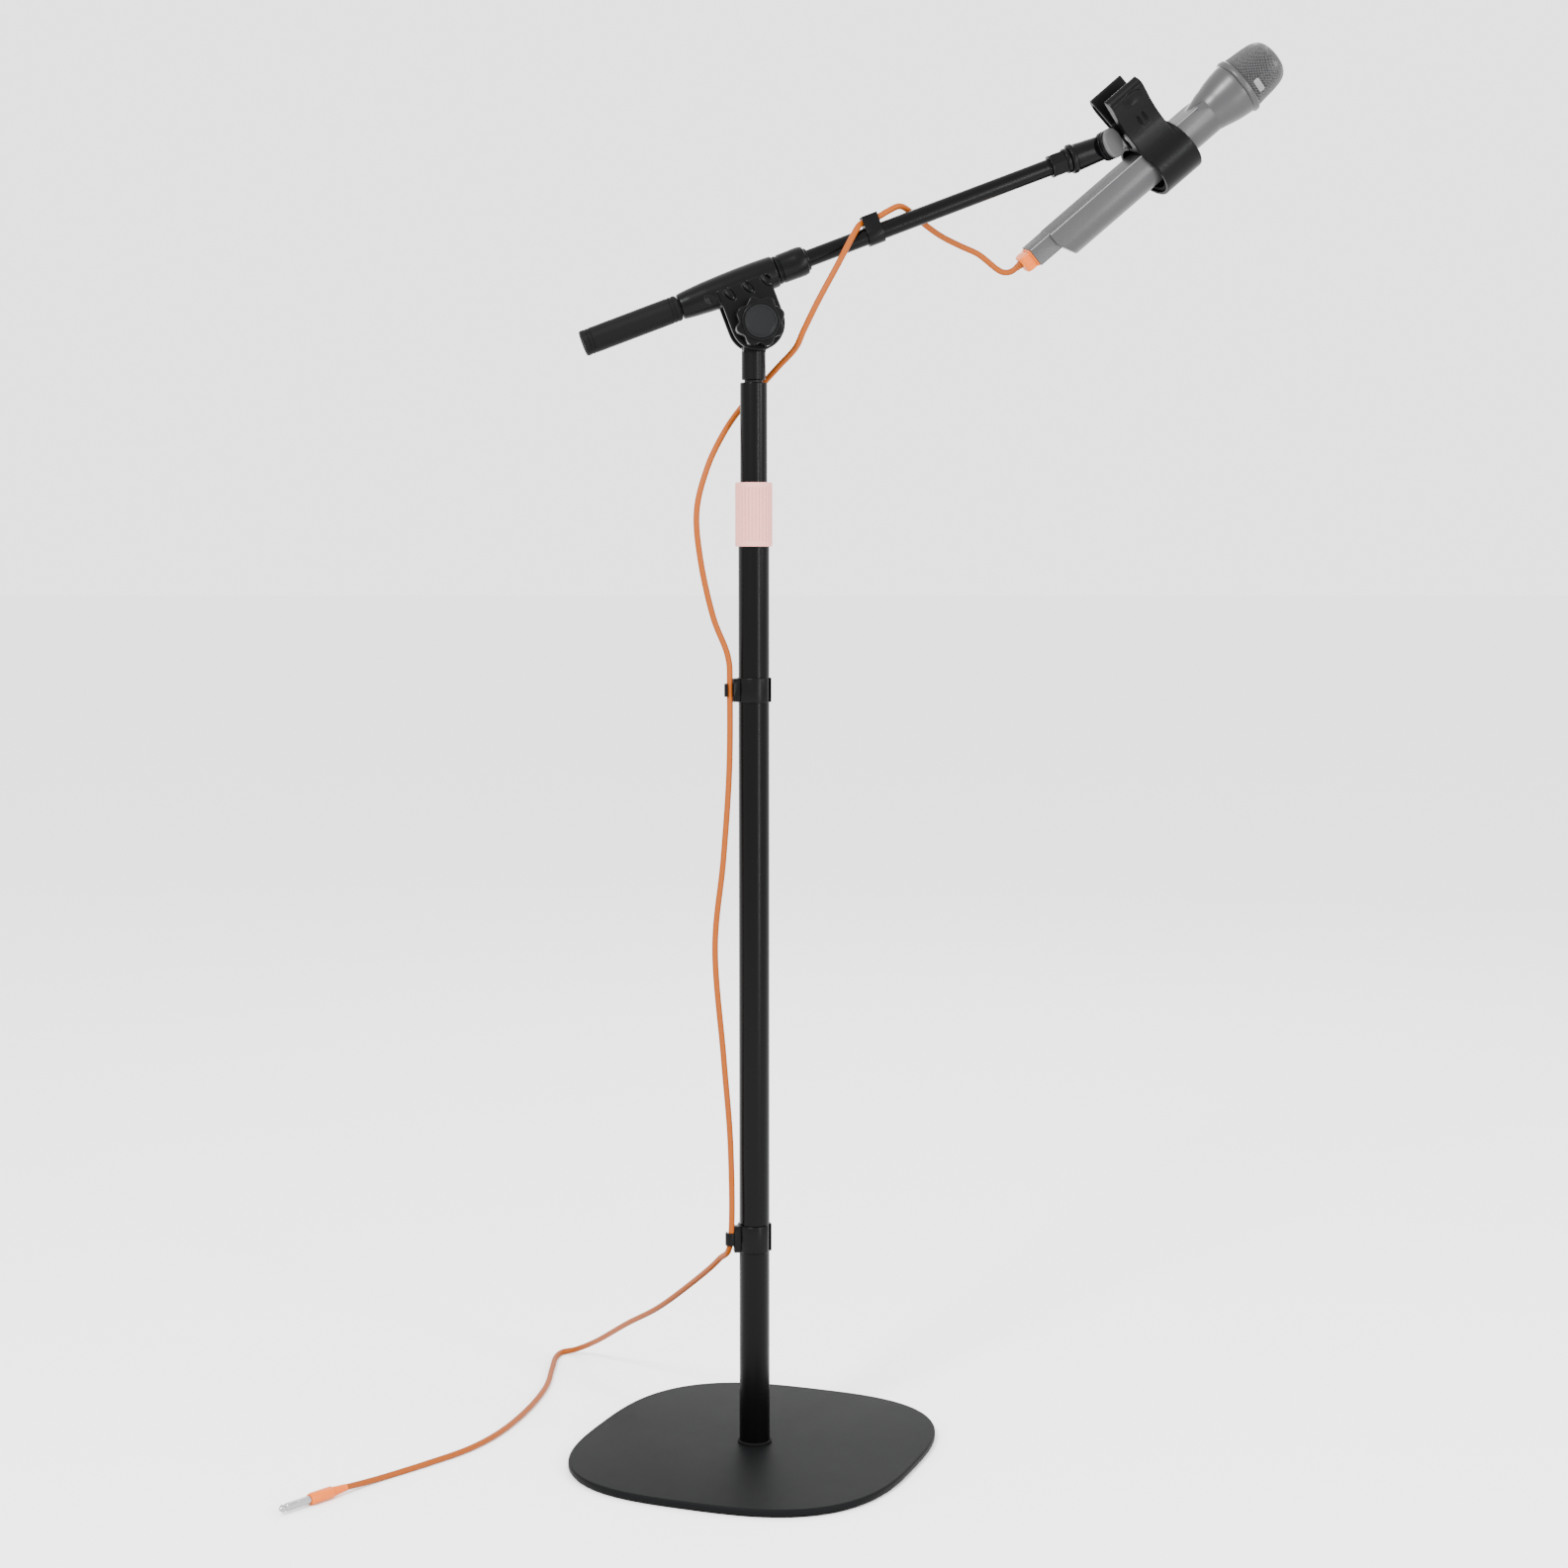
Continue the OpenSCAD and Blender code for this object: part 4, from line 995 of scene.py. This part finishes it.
# ---------------- microphone
def barrel():
    """The body: a rounded section with an oblique end over a flat tail that holds the cable."""
    body = slab("mic_body", rounded(mic_outline(-0.02), 1.2, 4, True), BARREL_START, 74.9)
    slant = moved(BARREL_START, -40, 3) @ turned(-26, "Y")
    combine(body, shift(box("slant", (-60, 0, -60), (0, 80, 0)), slant), "DIFFERENCE")
    bevelled(body, 0.9, 3, 50)
    low, bottom, top = TAIL_START, TAIL_LOW + 0.05, FLAT_TOP - 0.06
    sides = [(-14.45, bottom), (14.45, bottom), (14.45, top), (-14.45, top)]
    tail = slab("tail", rounded(sides, 0.9, 3, True), low + 0.05, -50)
    combine(body, tail, "UNION")
    mouth = box("mouth", (low - 1, -11.5, TAIL_LOW + 3), (low + 31, 11.5, FLAT_TOP - 3))
    combine(body, mouth, "DIFFERENCE")
    combine(body, rod("bore", 12.4, 55, 77, 64), "DIFFERENCE")
    taper = lathe("taper", [(58, 21.6), (58, 30), (76, 30), (76, 17.3)], closed=True)
    combine(body, taper, "DIFFERENCE")
    upward = [i for i, face in enumerate(body.data.polygons) if face.normal.z > 0.97]
    piece(body, MIC, "microphone", ["mic_barrel"], "mic_metal", sharp=32)
    body.data.materials.append(finish_of("mic_top"))
    for i in upward:
        body.data.polygons[i].material_index = 1


def painted_highlight_lines():
    """A painted highlight: thin light grey lines along the body's front shoulder, on the barrel and on its
    tail.
    """
    count, ahead = 40, Vector((1, 0, 0))
    for name, start, end, y, z in (
        ("mic_shoulder_painted_highlight", BARREL_START + 1, 66, -16.75, 12.55),
        ("mic_tail_painted_highlight", TAIL_START + 0.5, BARREL_START + 1.5, -14.2, 12.9),
    ):
        line = [Vector((start + (end - start) * k / count, y, z)) for k in range(count + 1)]
        made = swept(name, line, line[0] - ahead, line[-1] + ahead, 0.5, 8)
        # Painted highlight: a thin tube in the badge's lighter grey finish, laid where light catches the
        # shoulder edge.
        piece(made, MIC, "microphone", [], "badge", sharp=60)


def neck_and_ring():
    flare = [(57, 12.5), (66, 14.9), (75, 17.75), (80, 18.8), (85, 20.2), (92, 21.85)]
    flare = rounded([*flare, (101.5, 23.15), (103.95, 23.25)], 4, 5)
    flare += [(103.95, 21.7), (92, 20.3), (85, 18.7), (80, 17.3), (75.1, 15.4), (62, 12.5)]
    piece(lathe("mic_shoulder", flare, closed=True), MIC, "microphone", ["mic_neck"], "mic_metal", sharp=40)
    ring = [(104.1, 21.7), (104.1, 23.6), (105.3, 25.0), (108.6, 25.1), (109.95, 23.4), (109.95, 21.7)]
    ring = lathe("mic_ring", ring, closed=True, soften=1.5)
    piece(ring, MIC, "microphone", ["grille_ring"], "mic_metal", sharp=50)


DOME = [(110.2, 22.7), (117, 21.95), (125, 21.35), (132, 20.45), (137, 19.15), (141, 16.75), (143.5, 13.2),
        (145.0, 7.8), (145.6, 3.2)]


def along_dome(distance, line):
    """The point so far along the dome's outline."""
    for a, b in zip(line, line[1:]):
        length = (b - a).length
        if distance <= length:
            return a + (b - a) * (distance / length)
        distance -= length
    return line[-1]


def grille():
    """A dome of crossed wires over dark foam."""
    line = rounded([Vector(p) for p in DOME], 3.5, 4)
    total = sum((b - a).length for a, b in zip(line, line[1:]))
    sides, pitch = 76, 0.95
    count = int(total / pitch)
    points, rings = [], []
    for row in range(count + 1):
        p = along_dome(total * row / count, line)
        turns = [math.tau * (k + 0.5 * (row % 2)) / sides for k in range(sides)]
        add_ring(points, rings, [(p.x, p.y * math.cos(a), p.y * math.sin(a)) for a in turns])
    faces = []
    for row in range(count - 1):
        low, middle, high = rings[row], rings[row + 1], rings[row + 2]
        for k in range(sides):
            left = (k - 1) % sides if row % 2 == 0 else k
            right = k if row % 2 == 0 else (k + 1) % sides
            faces.append((low[k], middle[right], high[k], middle[left]))
    mesh = mesh_object("mic_mesh", points, faces)
    wires = mesh.modifiers.new("wires", "WIREFRAME")
    wires.thickness = 0.66
    wires.use_even_offset = False
    wires.use_boundary = True
    settle(mesh)
    piece(mesh, MIC, "microphone", ["mic_grille"], "grille", sharp=50)
    tip = lathe("mic_mesh_tip", [(145.2, 0), (145.2, 3.6), (145.75, 3.5), (145.95, 0)], 48)
    piece(tip, MIC, "microphone", [], "grille", sharp=50)
    inner = [(112, 18.7)] + [(x - 0.7, r - 1.0) for x, r in DOME[:-1]]
    inner += [(144.2, 0), (141.7, 0), (141, 7), (137, 14), (133, 16.3), (124, 18.1)]
    piece(lathe("mic_foam", inner), MIC, "microphone", ["grille_foam"], "foam", sharp=60)


def badge():
    """A blank plate on the front of the grille."""
    outline = rounded([(-2.65, -5.95), (2.65, -5.95), (2.65, 5.95), (-2.65, 5.95)], 1.6, 5, True)
    plate = prism("mic_plate", outline, 0.02, 1.18, edge=0.3)
    stand_up = Matrix(((1, 0, 0, 0), (0, 0, 1, 0), (0, 1, 0, 0), (0, 0, 0, 1)))
    place = MIC @ turned(14, "X") @ moved(116, -23.3, 0) @ turned(-4, "Z") @ stand_up
    piece(plate, place, "microphone", ["mic_badge"], "badge", sharp=30)


def connector():
    """The cord's connector in the microphone's tail, with its flange and bend relief."""
    low = TAIL_START
    sides = [(-12.4, -2.2), (12.4, -2.2), (12.4, 12.6), (-12.4, 12.6)]
    flange = slab("cable_flange", rounded(sides, 1.2, 3, True), low - 1.58, low - 0.05)
    piece(bevelled(flange, 0.3, 2), MIC, "microphone", [], "orange_plastic", sharp=30)
    outline = [
        (low - 10.95, -7.5), (low - 8, -11.4), (low - 1.5, -11.4), (low - 1.5, 11.4), (low - 8, 11.4),
        (low - 10.95, 7.5),
    ]
    body = prism("cable_plug", rounded(outline, 1.4, 4, True), -1.5, 11.9, edge=0.9)
    for k in range(3):
        for side in (-1, 1):
            x = low - 3.4 - 1.7 * k
            y = side * 11.4
            combine(body, box("grip", (x - 0.4, y - 0.4, 0.4), (x + 0.4, y + 0.4, 10.4)), "DIFFERENCE")
    tongue = box("tongue", (low - 1.6, -11.1, 0.8), (low + 7.9, 11.1, 9.6))
    combine(body, tongue, "UNION")
    piece(body, MIC, "microphone", ["cord_connector"], "orange_plastic", sharp=30)
    relief = [(low - 16, 0), (low - 16, 2.7)]
    for k in range(2):
        x = low - 15.8 + 2.4 * k
        grow = 0.35 * k
        relief += [(x, 2.8 + grow), (x + 1.4, 3.0 + grow), (x + 1.6, 2.6 + grow), (x + 2.2, 2.65 + grow)]
    relief += [(low - 11.05, 3.7), (low - 11.0, 0)]
    relief = lathe("cable_relief", relief, 40)
    place = MIC @ moved(0, 0, 6.6)
    piece(relief, place, "microphone", ["cord_relief"], "orange_cord", sharp=30)


def inner_pieces():
    """CAD pieces that stay as they are, with the finish of their own material slot."""
    for made in frame["nodes"].values():
        if made.hide_render:
            continue
        for k in range(len(made.material_slots)):
            name = made.material_slots[k].material.name.split(".")[0]
            made.material_slots[k].link = "OBJECT"
            made.material_slots[k].material = finish_of(name)


base()
pole()
clutch()
pole_clip("pole_clip_high", "pole_clip_upper", -1)
pole_clip("pole_clip_low", "pole_clip_lower", 1)
neck()
holder()
knob()
pivot_screw()
boom()
boom_clip()
lock_nut()
adapter()
moving_jaw()
fixed_jaw()
liner("front_liner", "moving_liner", -1, "moving_jaw")
liner("rear_liner", "fixed_liner", 1, "clip")
jaw_spring()
barrel()
painted_highlight_lines()
neck_and_ring()
grille()
badge()
connector()
inner_pieces()
